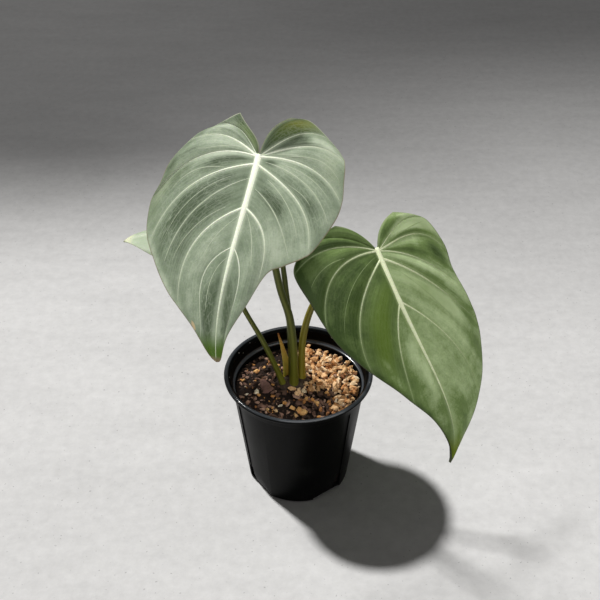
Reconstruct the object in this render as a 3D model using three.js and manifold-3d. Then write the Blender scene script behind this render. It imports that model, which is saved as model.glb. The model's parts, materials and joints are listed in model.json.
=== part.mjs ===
// A potted Philodendron gloriosum: a ribbed round pot filled with dark potting mix and pumice,
// a creeping rhizome with four leaf stalks, three open heart-shaped leaves and one rolled leaf.
// Millimetres, +Z up. The origin is the middle of the pot's base, and -Y is the plant's front.

import * as THREE from 'three';
import { mergeVertices } from 'three/addons/utils/BufferGeometryUtils.js';
import Module from 'manifold-3d';

const wasm = await Module();
wasm.setup();

// ---------------------------------------------------------------- driving sizes

const GAP = 0.3;                    // clear space left between neighbouring pieces
const RAD = Math.PI / 180;

const POT = {
  height: 95,
  lipRadius: 52.5,
  bodyTopRadius: 46.6,
  footRadius: 36.6,
  wall: 1.6,
  ledgeHeight: 84.5,                // the step inside, where the rim band starts
  ledgeRadius: 45.1,
  plateTop: 1.8,                    // the floor of the pot in its middle
  ringTop: 4.3,                     // the floor round it, raised over the feet
  footTurn: -8.5,                   // heading of the front foot, degrees from the front
  facetReach: 33.8,                 // the flat between two feet, from the axis at the base
  facetLean: Math.atan2(5.2, 20),   // and how far it leans out as it rises
  arch: { width: 24, height: 2.5 }, // the low arch under each flat
  slot: { width: 6, low: 3.5, high: 17, turn: 12.5 },   // side drain beside each flat
  groove: { width: 2.8, depth: 0.9, low: 5, high: 81, turn: 18.5 },
  roundSides: 44,
};

const SOIL_LEVEL = 82.6;

const BLADE = {
  thickness: 0.8,
  ribDepth: 1.3,                    // how far the midrib stands out under the blade
  veinThickness: 0.6,
  veinCrown: 0.5,                   // how much thicker a vein is along its middle
  padRadius: 3.0,                   // the pale boss where the stalk meets the blade
  midribHalf: 1.8,
  midribTaper: 0.7,                 // share of its width the midrib loses by the tip
  veinHalf: 1,
  veinTaper: 0.7,                   // and a side vein by the margin
  veinCrownShare: 0.75,             // a side vein's height over the midrib's
};

// Both halves of the small leaf are alike.
const BACK_HALF = {
  margin: [[-0.215, 0.155], [-0.185, 0.235], [-0.1, 0.325], [0.02, 0.4], [0.17, 0.45],
    [0.33, 0.455], [0.5, 0.4], [0.67, 0.295], [0.82, 0.17], [0.93, 0.065], [1, 0]],
  bow: [[0, 0.1, 0], [0.24, 0.16, 0], [0.4, 0.13, 0], [0.755, 0.19, 0], [1, 0, 0]],
  drawn: [1, 1, 1, 1],
};

// A leaf's side veins leave the midrib at the second number, a share of its length, and end
// at the first, a station round the margin: 0 is the back of the lobe and 1 the tip. Those
// that leave at 0 fan out from the stalk.
// Each half, left then right, has its margin from the lobe to the tip, as distance past the
// stalk and distance from the midrib in blade lengths; the bow of its veins, as station, bow
// and lean of the bow towards the root; and how wide each vein is drawn, 0 for not at all.
const LEAVES = {
  front: {
    stalkEnd: [-24.8, 5, 264.9],
    heading: -15, dip: 34, roll: 8, length: 130.2,
    droop: 17.8, lobeDroop: -4, fold: [3, 5], cup: [6, 8], sweep: [-0.156, 0.011, 0.124],
    quilt: 1.4, wave: 2.2, waves: 3.2, wavePhase: [0.6, 2.4], notchLift: [-4, 9],
    veins: [[0.12, 0], [0.26, 0], [0.41, 0], [0.57, 0.037], [0.77, 0.261], [0.88, 0.455]],
    columns: [0.16, 0.34, 0.53, 0.72, 0.9, 1],
    halves: [{
      margin: [[-0.236, 0.165], [-0.192, 0.221], [-0.166, 0.284], [-0.124, 0.376], [0.018, 0.467],
        [0.154, 0.492], [0.263, 0.532], [0.415, 0.505], [0.561, 0.398], [0.694, 0.289],
        [0.768, 0.22], [0.864, 0.125], [0.94, 0.054], [1, 0]],
      bow: [[0, 0.072, 0.079], [0.12, 0.125, -0.054], [0.26, 0.159, -0.041], [0.41, 0.191, 0.003],
        [0.57, 0.2, -0.018], [0.77, 0.21, 0.021], [0.88, 0.162, 0.141], [1, 0.162, 0.051]],
      drawn: [0.5, 1, 0.9, 1.1, 1.1, 0.6],
    }, {
      margin: [[-0.194, 0.129], [-0.207, 0.213], [-0.122, 0.337], [-0.058, 0.401], [-0.009, 0.424],
        [0.075, 0.435], [0.164, 0.445], [0.268, 0.434], [0.424, 0.38], [0.473, 0.338],
        [0.519, 0.257], [0.563, 0.186], [0.727, 0.124], [0.877, 0.056], [0.964, 0.027], [1, 0]],
      bow: [[0, 0.089, -0.013], [0.12, 0.153, -0.081], [0.26, 0.172, -0.075], [0.41, 0.155, -0.02],
        [0.57, 0.141, -0.04], [0.77, 0.177, 0.036], [0.88, 0.104, 0.073], [1, 0.104, 0.026]],
      drawn: [0.8, 1, 1.1, 1.1, 1, 0.6],
    }],
  },
  right: {
    stalkEnd: [52.5, 8, 192.1],
    heading: 32.3, dip: 42.8, roll: -8, length: 161.8,
    droop: 36.6, lobeDroop: 12, fold: [6, 4], cup: [18, 4], sweep: [0.152, 0.595, -0.604],
    quilt: 2.4, wave: 2.6, waves: 2.7, wavePhase: [2.1, 0.4], notchLift: [1, 2],
    veins: [[0.12, 0], [0.25, 0], [0.39, 0], [0.56, 0.033], [0.76, 0.224]],
    columns: [0.16, 0.34, 0.53, 0.72, 0.9, 1],
    halves: [{
      margin: [[-0.157, 0.131], [-0.149, 0.222], [-0.114, 0.305], [-0.034, 0.375], [0.118, 0.364],
        [0.287, 0.335], [0.417, 0.281], [0.502, 0.238], [0.572, 0.199], [0.648, 0.158],
        [0.769, 0.082], [0.905, 0.022], [1, 0]],
      bow: [[0, 0.102, -0.022], [0.12, 0.113, -0.031], [0.25, 0.159, -0.043], [0.39, 0.242, 0.016],
        [0.56, 0.144, -0.01], [0.76, 0.063, 0.021], [1, -0.008, 0.001]],
      drawn: [0, 0.6, 0.9, 0.8, 0.8],
    }, {
      margin: [[-0.135, 0.164], [-0.098, 0.263], [-0.05, 0.342], [0.07, 0.392], [0.172, 0.374],
        [0.266, 0.364], [0.338, 0.361], [0.417, 0.371], [0.498, 0.36], [0.638, 0.281],
        [0.751, 0.18], [0.846, 0.1], [0.911, 0.061], [1, 0]],
      bow: [[0, 0.14, 0.02], [0.12, 0.118, -0.073], [0.25, 0.184, -0.077], [0.39, 0.107, 0.006],
        [0.56, 0.073, 0.012], [0.76, 0.138, -0.007], [1, 0.138, -0.003]],
      drawn: [0.5, 0.9, 0.9, 1, 0.8],
    }],
  },
  back: {
    stalkEnd: [-55.8, 24, 192.6],
    heading: -99, dip: -4, roll: -4, length: 66,
    droop: 26, lobeDroop: 14, fold: [8, 8], cup: [14, 14], sweep: [0, 0, 0],
    quilt: 0.7, wave: 1.2, waves: 2.4, wavePhase: [0.3, 1.7], notchLift: [1, 1],
    veins: [[0.24, 0], [0.4, 0], [0.58, 0], [0.755, 0.25]],
    columns: [0.25, 0.5, 0.78, 1],
    halves: [BACK_HALF, BACK_HALF],
  },
};

// Each stalk's route from inside the rhizome to just under its blade, with its radius at
// the foot and at the top.
const STALKS = {
  front: {
    route: [[-1, -2.5, 80], [-2.3, -1.8, 112], [-5.7, 0.4, 142], [-12.3, 3, 165.4],
      [-17.2, 6, 195], [-20.7, 8.6, 228], [-21.9, 9.7, 252]],
    footRadius: 3.1, topRadius: 1.8,
  },
  right: {
    route: [[4.6, 4, 80], [3.9, 6.4, 118], [9.4, 9, 143.9], [21.4, 12, 165],
      [37, 13.6, 178.5]],
    footRadius: 2.7, topRadius: 1.8,
  },
  back: {
    route: [[-10.5, -1.6, 80], [-17.6, 0.6, 103], [-25.4, 3, 122.5], [-36.4, 9, 141.5],
      [-46.5, 16, 162], [-53.6, 22, 179]],
    footRadius: 2.7, topRadius: 1.4,
  },
  young: {
    route: [[-4.4, 5.4, 80], [-5.2, 6, 112], [-6.6, 6.9, 140], [-8.6, 8, 163],
      [-10.6, 9.6, 183], [-12.5, 11, 205]],
    footRadius: 2.4, topRadius: 1.7,
  },
};

const RHIZOME = { centre: [-3.2, 1.2, 80], half: [14, 9, 6.5] };

// ---------------------------------------------------------------- small helpers

function seeded(seed) {
  let state = seed;
  return () => {
    state = (state * 1664525 + 1013904223) % 4294967296;
    return state / 4294967296;
  };
}

// Reads a column of a table at x, with straight lines between its rows.
function along(rows, x, column = 1) {
  let i = 1;
  while (i < rows.length - 1 && x > rows[i][0]) i += 1;
  const share = (x - rows[i - 1][0]) / (rows[i][0] - rows[i - 1][0]);
  return rows[i - 1][column] + (rows[i][column] - rows[i - 1][column]) * share;
}

function closedGeometry(points, triangles) {
  const geometry = new THREE.BufferGeometry();
  const flat = points.flatMap((p) => [p.x, p.y, p.z]);
  geometry.setAttribute('position', new THREE.Float32BufferAttribute(flat, 3));
  geometry.setIndex(triangles.flat());
  return geometry;
}

function solidOf(geometry) {
  const bare = geometry.clone();
  bare.deleteAttribute('normal');
  bare.deleteAttribute('uv');
  const merged = mergeVertices(bare, 1e-4);
  const vertProperties = new Float32Array(merged.attributes.position.array);
  const triVerts = new Uint32Array(merged.index.array);
  return new wasm.Manifold(new wasm.Mesh({ numProp: 3, vertProperties, triVerts }));
}

function geometryOf(solid) {
  const mesh = solid.getMesh();
  const geometry = new THREE.BufferGeometry();
  geometry.setAttribute('position', new THREE.Float32BufferAttribute(mesh.vertProperties, 3));
  geometry.setIndex(new THREE.Uint32BufferAttribute(mesh.triVerts, 1));
  return geometry;
}

function lathe(profile, sides) {
  const outline = profile.map(([r, z]) => new THREE.Vector2(r, z));
  return new THREE.LatheGeometry(outline, sides).rotateX(Math.PI / 2);
}

function piece(name, geometry, color, roughness) {
  const material = new THREE.MeshStandardMaterial({ color, roughness, metalness: 0 });
  const mesh = new THREE.Mesh(geometry, material);
  mesh.name = name;
  return mesh;
}

// A round stem along a smooth route. Its last ring is square to endNormal, where one is given.
function stem(route, radiusAt, { sides = 8, steps = 16, endNormal = null, flatten = 1 } = {}) {
  const knots = route.map((p) => new THREE.Vector3(...p));
  const curve = new THREE.CatmullRomCurve3(knots, false, 'catmullrom', 0.5);
  const points = [];
  const triangles = [];
  const side = new THREE.Vector3(1, 0, 0);
  for (let i = 0; i <= steps; i += 1) {
    const u = i / steps;
    const centre = curve.getPoint(u);
    const tangent = curve.getTangent(u);
    if (endNormal && i === steps) tangent.copy(endNormal);
    side.addScaledVector(tangent, -side.dot(tangent)).normalize();
    const other = new THREE.Vector3().crossVectors(tangent, side);
    for (let k = 0; k < sides; k += 1) {
      const angle = (2 * Math.PI * k) / sides;
      const point = centre.clone();
      point.addScaledVector(side, radiusAt(u) * Math.cos(angle));
      point.addScaledVector(other, radiusAt(u) * flatten * Math.sin(angle));
      points.push(point);
    }
  }
  for (let i = 0; i < steps; i += 1) {
    for (let k = 0; k < sides; k += 1) {
      const a = i * sides + k;
      const b = i * sides + ((k + 1) % sides);
      triangles.push([a, b, b + sides], [a, b + sides, a + sides]);
    }
  }
  const top = steps * sides;
  for (let k = 1; k < sides - 1; k += 1) {
    triangles.push([0, k + 1, k], [top, top + k, top + k + 1]);
  }
  return closedGeometry(points, triangles);
}

// ---------------------------------------------------------------- leaf blades

// The leaf's own directions: along the midrib, to its right, and out of its upper face.
function leafAxes(leaf) {
  const heading = leaf.heading * RAD;
  const dip = leaf.dip * RAD;
  const roll = leaf.roll * RAD;
  const ahead = new THREE.Vector3(
    Math.sin(heading) * Math.cos(dip), -Math.cos(heading) * Math.cos(dip), -Math.sin(dip));
  const level = new THREE.Vector3(Math.cos(heading), Math.sin(heading), 0);
  const upright = new THREE.Vector3().crossVectors(ahead, level);
  const right = level.clone().multiplyScalar(Math.cos(roll));
  right.addScaledVector(upright, Math.sin(roll));
  const up = new THREE.Vector3().crossVectors(ahead, right);
  return { ahead, right, up };
}

// One half of a leaf with what its places are worked out from.
function halfBlade(leaf, side) {
  const { margin, bow, drawn } = leaf.halves[side];
  return {
    leaf, side, bow, drawn,
    axes: leafAxes(leaf),
    hand: side === 0 ? -1 : 1,
    outline: new THREE.SplineCurve(margin.map((p) => new THREE.Vector2(...p))),
    roots: [[0, 0], ...leaf.veins, [1, 1]],
  };
}

// A place on the flat blade: station runs round the margin from lobe to tip, and reach from
// the midrib out along the bowed line of that station's vein.
function flatPoint(half, station, reach) {
  const end = half.outline.getPoint(station);
  const root = along(half.roots, station);
  const chord = new THREE.Vector2(end.x - root, end.y);
  const skew = along(half.bow, station, 2) * (1 - 2 * reach);
  const bow = (along(half.bow, station) + skew) * 4 * reach * (1 - reach);
  return new THREE.Vector2(
    root + chord.x * reach - chord.y * bow,
    chord.y * reach + chord.x * bow);
}

// The direction square to a station's line on the flat blade, towards later stations, and
// how far the lines move apart that way for each unit of station.
function acrossLine(half, station, reach) {
  const step = 0.005;
  const onward = flatPoint(half, station, reach + step);
  onward.sub(flatPoint(half, station, reach - step)).normalize();
  const apart = flatPoint(half, station + step, reach);
  apart.sub(flatPoint(half, station - step, reach)).divideScalar(2 * step);
  const direction = new THREE.Vector2(onward.y, -onward.x);
  return { direction, spacing: apart.dot(direction) };
}

// A place on the blade in space. Aside moves it square to its line, in millimetres.
function bladePoint(half, station, reach, aside = 0) {
  const { leaf, axes, side, hand } = half;
  const place = flatPoint(half, station, reach);
  if (aside !== 0) {
    place.addScaledVector(acrossLine(half, station, reach).direction, aside / leaf.length);
  }
  const { x, y } = place;
  const s = x * leaf.length;
  const w = y * leaf.length;

  const bend = s >= 0 ? leaf.droop / leaf.length : leaf.lobeDroop / (0.2 * leaf.length);
  const turn = bend * RAD * s;
  const lean = leaf.fold[side] + (leaf.cup[side] * y) / 0.9;
  const out = w * Math.cos(lean * RAD);
  const drop = w * Math.sin(lean * RAD);
  const [sweep, sweepMore, sweepMost] = leaf.sweep;
  const curve = Math.sign(s) * x * x * (sweep + sweepMore * Math.abs(x) + sweepMost * x * x);

  const edges = half.roots.map(([at]) => at);
  const i = Math.max(1, edges.findIndex((edge) => station <= edge));
  const between = (station - edges[i - 1]) / (edges[i] - edges[i - 1]);
  const quilt = leaf.quilt * Math.sin(Math.PI * between) * 4 * reach * (1 - reach);
  const ripple = Math.sin(2 * Math.PI * leaf.waves * station + leaf.wavePhase[side]);
  const wave = leaf.wave * reach ** 3 * ripple * Math.sqrt(1 - station ** 4);
  const nearNotch = Math.max(0, 1 - station / 0.2) ** 2;
  const lift = leaf.notchLift[side] * nearNotch * Math.sin(Math.PI * reach * 0.75);

  const normal = axes.up.clone().multiplyScalar(Math.cos(turn));
  normal.addScaledVector(axes.ahead, Math.sin(turn));
  const face = normal.clone().multiplyScalar(Math.cos(lean * RAD));
  face.addScaledVector(axes.right, hand * Math.sin(lean * RAD));

  const point = new THREE.Vector3(...leaf.stalkEnd);
  const scale = Math.abs(turn) < 1e-9 ? 1 : Math.sin(turn) / turn;
  const sag = Math.abs(turn) < 1e-9 ? 0 : (1 - Math.cos(turn)) / turn;
  point.addScaledVector(axes.ahead, s * scale);
  point.addScaledVector(axes.up, -s * sag);
  point.addScaledVector(axes.right, hand * out + curve * leaf.length);
  point.addScaledVector(normal, -drop);
  point.addScaledVector(face, quilt + wave + lift);
  return point;
}

// How far along a station's line a column of the grid lies. The first two columns are the
// midrib's own strip, or the pale boss round the stalk.
function columnReach(half, station, column) {
  const { leaf, roots } = half;
  const root = along(roots, station);
  const probe = 0.05;
  const near = flatPoint(half, station, probe);
  let pale = BLADE.padRadius / near.length();
  if (root > 0) pale = (BLADE.midribHalf * (1 - BLADE.midribTaper * root)) / near.y;
  const first = Math.min((pale * probe) / leaf.length, 0.4 * leaf.columns[0] + 0.1);
  return column < 2 ? column * first : first + (1 - first) * leaf.columns[column - 2];
}

// The places down one column of the grid: three to each vein (its two sides and its middle)
// and some between neighbouring veins. On the midrib's strip a vein's sides are stations of
// their own, and further out they lie square to the vein.
function columnPlaces(half, column) {
  const { leaf, drawn, roots } = half;
  const places = [{ at: 0 }];
  let last = 0;
  const fillTo = (next, parts) => {
    for (let i = 1; i < parts; i += 1) places.push({ at: last + ((next - last) * i) / parts });
  };
  leaf.veins.forEach(([vein], i) => {
    const room = 0.16 * Math.min(vein - roots[i][0], roots[i + 2][0] - vein);
    const reach = columnReach(half, vein, column);
    const opensVein = drawn[i] > 0;
    const narrowing = 1 - BLADE.veinTaper * reach;
    const widest = BLADE.veinHalf * narrowing * (column > 0 && opensVein ? drawn[i] : 1);
    if (column < 2) {
      const step = 0.01;
      const before = flatPoint(half, vein - step, 0);
      const spread = before.distanceTo(flatPoint(half, vein + step, 0)) / (2 * step);
      const side = Math.min(widest / (spread * leaf.length + 1e-3), room);
      fillTo(vein - side, 3);
      places.push({ at: vein - side, opensVein });
      places.push({ at: vein, isMiddle: opensVein, opensVein });
      places.push({ at: vein + side });
      last = vein + side;
    } else {
      const side = Math.min(widest, room * acrossLine(half, vein, reach).spacing * leaf.length);
      fillTo(vein, 3);
      places.push({ at: vein, aside: -side, opensVein });
      places.push({ at: vein, isMiddle: opensVein, opensVein });
      places.push({ at: vein, aside: side });
      last = vein;
    }
  });
  fillTo(1, 5);
  places.push({ at: 1 });
  return places;
}

// One skin of the blade as a grid of cells, left and right halves joined along the midrib.
function bladeSkin(leaf) {
  const points = [];
  const crown = [];
  const cells = [];
  const known = new Map();
  const upright = [];

  // The halves share their points on the midrib, and all lines of a half end in its tip.
  const keep = (key, point, rise) => {
    if (!known.has(key)) {
      known.set(key, points.length);
      points.push(point);
      crown.push(0);
    }
    const index = known.get(key);
    crown[index] = Math.max(crown[index], rise);
    return index;
  };

  [0, 1].forEach((side) => {
    const half = halfBlade(leaf, side);
    const columns = [0, 1, ...leaf.columns.map((_, i) => i + 2)];
    const grid = columns.map((column) => columnPlaces(half, column).map((place, row) => {
      const reach = columnReach(half, place.at, column);
      let rise = place.isMiddle ? BLADE.veinCrownShare * (1 - reach) : 0;
      if (column === 0) rise = 1;
      let key = `${side} ${column} ${row}`;
      if (column === 0) key = `midrib ${along(half.roots, place.at).toFixed(6)}`;
      if (place.at === 1) key = 'tip';
      const point = bladePoint(half, place.at, reach, place.aside);
      return { ...place, index: keep(key, point, rise) };
    }));
    // A vein stands up square to its own middle line all the way across.
    grid[1].forEach(({ index }, row) => upright.push([index, grid[0][row].index]));
    grid.slice(2).forEach((column) => column.forEach(({ index, isMiddle }, row) => {
      if (!isMiddle) return;
      upright.push([column[row - 1].index, index], [column[row + 1].index, index]);
    }));
    for (let j = 0; j + 1 < grid.length; j += 1) {
      for (let k = 0; k + 1 < grid[j].length; k += 1) {
        const inner = grid[j];
        const outer = grid[j + 1];
        const corners = [inner[k], inner[k + 1], outer[k + 1], outer[k]].map((c) => c.index);
        if (side === 0) corners.reverse();
        const isVein = j === 0 || (inner[k].opensVein && j + 2 < grid.length);
        const [a, b, c, d] = corners;
        [[a, b, c], [a, c, d]].forEach((triangle) => {
          if (new Set(triangle).size === 3) cells.push({ triangle, isVein });
        });
      }
    }
  });

  const normals = points.map(() => new THREE.Vector3());
  cells.forEach(({ triangle }) => {
    const [a, b, c] = triangle.map((i) => points[i]);
    const across = new THREE.Vector3().crossVectors(b.clone().sub(a), c.clone().sub(a));
    triangle.forEach((i) => normals[i].add(across));
  });
  normals.forEach((normal) => normal.normalize());
  const veinNormals = [...normals];
  upright.forEach(([index, middle]) => {
    veinNormals[index] = normals[middle];
  });
  return { points, normals, veinNormals, crown, cells };
}

// A closed solid from some of a skin's triangles, reaching along the normals from one height
// over the skin to another at each point.
function shell(skin, normals, triangles, highAt, lowAt) {
  const used = [...new Set(triangles.flat())];
  const high = new Map(used.map((i, n) => [i, n]));
  const count = used.length;
  const raised = (height) => used.map((i) => {
    const point = skin.points[i].clone();
    return point.addScaledVector(normals[i], height(skin.crown[i]));
  });
  const points = [...raised(highAt), ...raised(lowAt)];
  const faces = [];
  const open = new Map();
  triangles.forEach((triangle) => {
    const [a, b, c] = triangle.map((i) => high.get(i));
    faces.push([a, b, c], [a + count, c + count, b + count]);
    [[a, b], [b, c], [c, a]].forEach(([from, to]) => {
      if (open.has(`${to} ${from}`)) open.delete(`${to} ${from}`);
      else open.set(`${from} ${to}`, [from, to]);
    });
  });
  open.forEach(([from, to]) => {
    faces.push([from, from + count, to + count], [from, to + count, to]);
  });
  return closedGeometry(points, faces);
}

function leafPieces(name, leaf) {
  const skin = bladeSkin(leaf);
  const all = skin.cells.map((cell) => cell.triangle);
  const pale = skin.cells.filter((cell) => cell.isVein).map((cell) => cell.triangle);
  const size = leaf.length / 140;
  const under = (crown) => -(BLADE.thickness + BLADE.ribDepth * crown * size);
  const over = (crown) => GAP + BLADE.veinThickness + BLADE.veinCrown * crown * size;
  const blade = shell(skin, skin.normals, all, () => 0, under);
  const veins = shell(skin, skin.veinNormals, pale, over, () => GAP);
  return [
    piece(`blade_${name}`, blade, name === 'front' ? '#7f9a82' : '#4f6d3c', 0.6),
    piece(`veins_${name}`, veins, '#d9e2c0', 0.55),
  ];
}

// ---------------------------------------------------------------- stalks and rhizome

function rhizomeGeometry(extra) {
  const [hx, hy, hz] = RHIZOME.half.map((half) => half + extra);
  const ball = new THREE.SphereGeometry(1, 18, 12).rotateX(Math.PI / 2);
  return ball.scale(hx, hy, hz).translate(...RHIZOME.centre);
}

function stalkGeometry(name, extra) {
  const { route, footRadius, topRadius } = STALKS[name];
  const leaf = LEAVES[name];
  const points = [...route];
  let endNormal = null;
  if (leaf) {
    const { up } = leafAxes(leaf);
    const below = BLADE.thickness + (BLADE.ribDepth * leaf.length) / 140 + GAP + 0.05;
    endNormal = up;
    [9, below].forEach((depth) => {
      const end = new THREE.Vector3(...leaf.stalkEnd).addScaledVector(up, -depth);
      points.push(end.toArray());
    });
  }
  const radiusAt = (u) => topRadius + (footRadius - topRadius) * (1 - u) ** 1.3 + extra;
  return stem(points, radiusAt, { sides: 8, steps: 18, endNormal });
}

function stalkPiece(name) {
  const seat = solidOf(rhizomeGeometry(GAP));
  const stalk = solidOf(stalkGeometry(name, 0)).subtract(seat);
  const color = name === 'right' ? '#6f7a2e' : '#56672f';
  return piece(`stalk_${name}`, geometryOf(stalk), color, 0.45);
}

// The new leaf, still rolled into a slim spindle on its own stalk.
function rolledLeaf() {
  const [x, y, z] = STALKS.young.route[5];
  const route = [[x, y, z + GAP], [x - 0.7, y + 0.7, z + 12], [x - 1.8, y + 1.2, z + 28],
    [x - 2.6, y + 1.2, z + 47]];
  const radiusAt = (u) => 0.5 + 2.9 * Math.sin(Math.PI * (0.18 + 0.8 * u)) ** 1.2;
  const geometry = stem(route, radiusAt, { sides: 7, steps: 9, flatten: 0.8 });
  return piece('rolled_leaf', geometry, '#7d9a4a', 0.5);
}

// The dry sheath that a leaf pushed through, a narrow pointed spike.
function dryScale() {
  const route = [[-10.2, 7.2, 80], [-10.2, 8.2, 94], [-11.2, 10.2, 106], [-14.3, 13, 118.7]];
  const radiusAt = (u) => 0.45 + 2.1 * (1 - u) ** 0.8;
  const spike = solidOf(stem(route, radiusAt, { sides: 6, steps: 8, flatten: 0.62 }));
  const seated = spike.subtract(solidOf(rhizomeGeometry(GAP)));
  return piece('dry_scale', geometryOf(seated), '#b8863c', 0.7);
}

// ---------------------------------------------------------------- pot

const FACETS = [45, 135, 225, 315].map((turn) => POT.footTurn + turn);

function atHeading(geometry, degrees) {
  return solidOf(geometry.rotateZ(degrees * RAD));
}

// Blocks that leave the flats between the four feet, inset towards the axis.
function facetBlocks(inset) {
  const size = 60;
  return FACETS.map((facet) => {
    const block = new THREE.BoxGeometry(size, size, size).translate(0, -size / 2, 0);
    block.rotateX(POT.facetLean).translate(0, inset - POT.facetReach, 0);
    return atHeading(block, facet);
  });
}

// The room inside the pot, shrunk all round by gap.
function potRoom(gap) {
  const inner = POT.footRadius - POT.wall;
  const profile = [
    [0, POT.plateTop + gap], [24 - gap, POT.plateTop + gap], [26 - gap, POT.ringTop + gap],
    [inner + 0.5 - gap, POT.ringTop + gap], [POT.ledgeRadius - 0.2 - gap, POT.ledgeHeight - 0.5],
    [POT.ledgeRadius - gap, POT.ledgeHeight], [46.2 - gap, POT.ledgeHeight + 0.8],
    [48 - gap, 92.6], [49.1 - gap, 94.5], [49.8 - gap, POT.height + 1], [0, POT.height + 1],
  ];
  let room = solidOf(lathe(profile, POT.roundSides));
  facetBlocks(POT.wall + gap).forEach((block) => {
    room = room.subtract(block);
  });
  return room;
}

// A block through the wall at some radius, between two heights.
function wallBlock(width, low, high, radius, depth) {
  const block = new THREE.BoxGeometry(width, depth, high - low);
  return block.translate(0, -radius, 0);
}

function pot() {
  const profile = [
    [0, 0], [POT.footRadius - 1.6, 0], [POT.footRadius - 0.3, 1], [POT.footRadius, 2.4],
    [POT.bodyTopRadius, 83.6], [47.7, 84.8], [49.1, 90.8], [50.8, 91.1], [52, 91.9],
    [POT.lipRadius, 93.2], [52.2, 94.3], [51.2, POT.height], [0, POT.height],
  ];
  let body = solidOf(lathe(profile, POT.roundSides));
  facetBlocks(0).forEach((block) => {
    body = body.subtract(block);
  });
  body = body.subtract(potRoom(0));

  const { arch, slot, groove } = POT;
  const draft = Math.atan2(POT.bodyTopRadius - POT.footRadius, 81.2);
  const middle = (POT.footRadius + POT.bodyTopRadius) / 2;
  FACETS.forEach((facet, corner) => {
    const towardsSide = corner % 2 === 0 ? 1 : -1;
    const archBlock = wallBlock(arch.width, -arch.height, arch.height, POT.facetReach, 10);
    const slotBlock = wallBlock(slot.width, slot.low, slot.high, 38, 14);
    slotBlock.translate(0, 0, (slot.low + slot.high) / 2);
    const grooveBlock = wallBlock(groove.width, groove.low, groove.high, 1.5 - groove.depth, 3);
    grooveBlock.rotateX(draft).translate(0, -middle, (groove.low + groove.high) / 2);
    body = body.subtract(atHeading(archBlock, facet));
    body = body.subtract(atHeading(slotBlock, facet + slot.turn * towardsSide));
    body = body.subtract(atHeading(grooveBlock, facet + groove.turn * towardsSide));
  });
  return piece('pot', geometryOf(body), '#131416', 0.25);
}

// ---------------------------------------------------------------- potting mix and pumice

// The pot's filling is dark mix on the left and pumice on the right of a winding line.
const PUMICE = { depth: 3, grains: 52, spacing: 4.9, grainRadius: 2.1, standsProud: 0.8 };
const HEAP = 1.6;                   // how much higher the filling lies on the right

function edgeAt(y) {
  return 0.5 + 0.16 * y + 2.5 * Math.sin(y / 6);
}

function fillHeight(x, y) {
  const lumps = 0.5 * Math.sin(0.6 * x + 1.3) * Math.cos(0.7 * y - 0.4)
    + 0.6 * Math.sin(0.37 * x - 0.52 * y);
  const heap = HEAP / (1 + Math.exp(-(x - 8) / 8));
  return SOIL_LEVEL + heap + lumps;
}

function mixHeight(x, y) {
  return fillHeight(x, y) - PUMICE.depth / (1 + Math.exp((edgeAt(y) - x) / 1.5));
}

// A round slab between two heights that follow the surface of the mix.
function mixSlab(radius, lowAt, highAt) {
  const sides = 32;
  const rings = 8;
  const points = [];
  const triangles = [];
  [highAt, lowAt].forEach((heightAt) => {
    points.push(new THREE.Vector3(0, 0, heightAt(0, 0)));
    for (let ring = 1; ring <= rings; ring += 1) {
      for (let k = 0; k < sides; k += 1) {
        const angle = (2 * Math.PI * k) / sides;
        const r = (radius * ring) / rings;
        const x = r * Math.cos(angle);
        const y = r * Math.sin(angle);
        points.push(new THREE.Vector3(x, y, heightAt(x, y)));
      }
    }
  });
  const below = 1 + rings * sides;
  for (let k = 0; k < sides; k += 1) {
    const next = (k + 1) % sides;
    triangles.push([0, 1 + k, 1 + next], [below, below + 1 + next, below + 1 + k]);
    for (let ring = 0; ring + 1 < rings; ring += 1) {
      const a = 1 + ring * sides + k;
      const b = 1 + ring * sides + next;
      triangles.push([a, a + sides, b + sides], [a, b + sides, b]);
      triangles.push([below + a, below + b + sides, below + a + sides]);
      triangles.push([below + a, below + b, below + b + sides]);
    }
    const a = 1 + (rings - 1) * sides + k;
    const b = 1 + (rings - 1) * sides + next;
    triangles.push([a, below + a, below + b], [a, below + b, b]);
  }
  return solidOf(closedGeometry(points, triangles));
}

// What the mix leaves free: the rhizome's bed and plain round holes for the stalks.
function plantedSpace(clear) {
  let space = solidOf(rhizomeGeometry(clear));
  Object.keys(STALKS).forEach((name) => {
    space = space.add(solidOf(stalkGeometry(name, clear)));
  });
  const hole = new THREE.CylinderGeometry(3.6, 3.6, 24, 10).rotateX(Math.PI / 2);
  return space.add(solidOf(hole.translate(-10.2, 7.6, 90)));
}

function pottingMix() {
  const block = mixSlab(52, () => -1, mixHeight);
  const mix = block.intersect(potRoom(GAP)).subtract(plantedSpace(GAP));
  return piece('potting_mix', geometryOf(mix), '#2b211c', 0.95);
}

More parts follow.
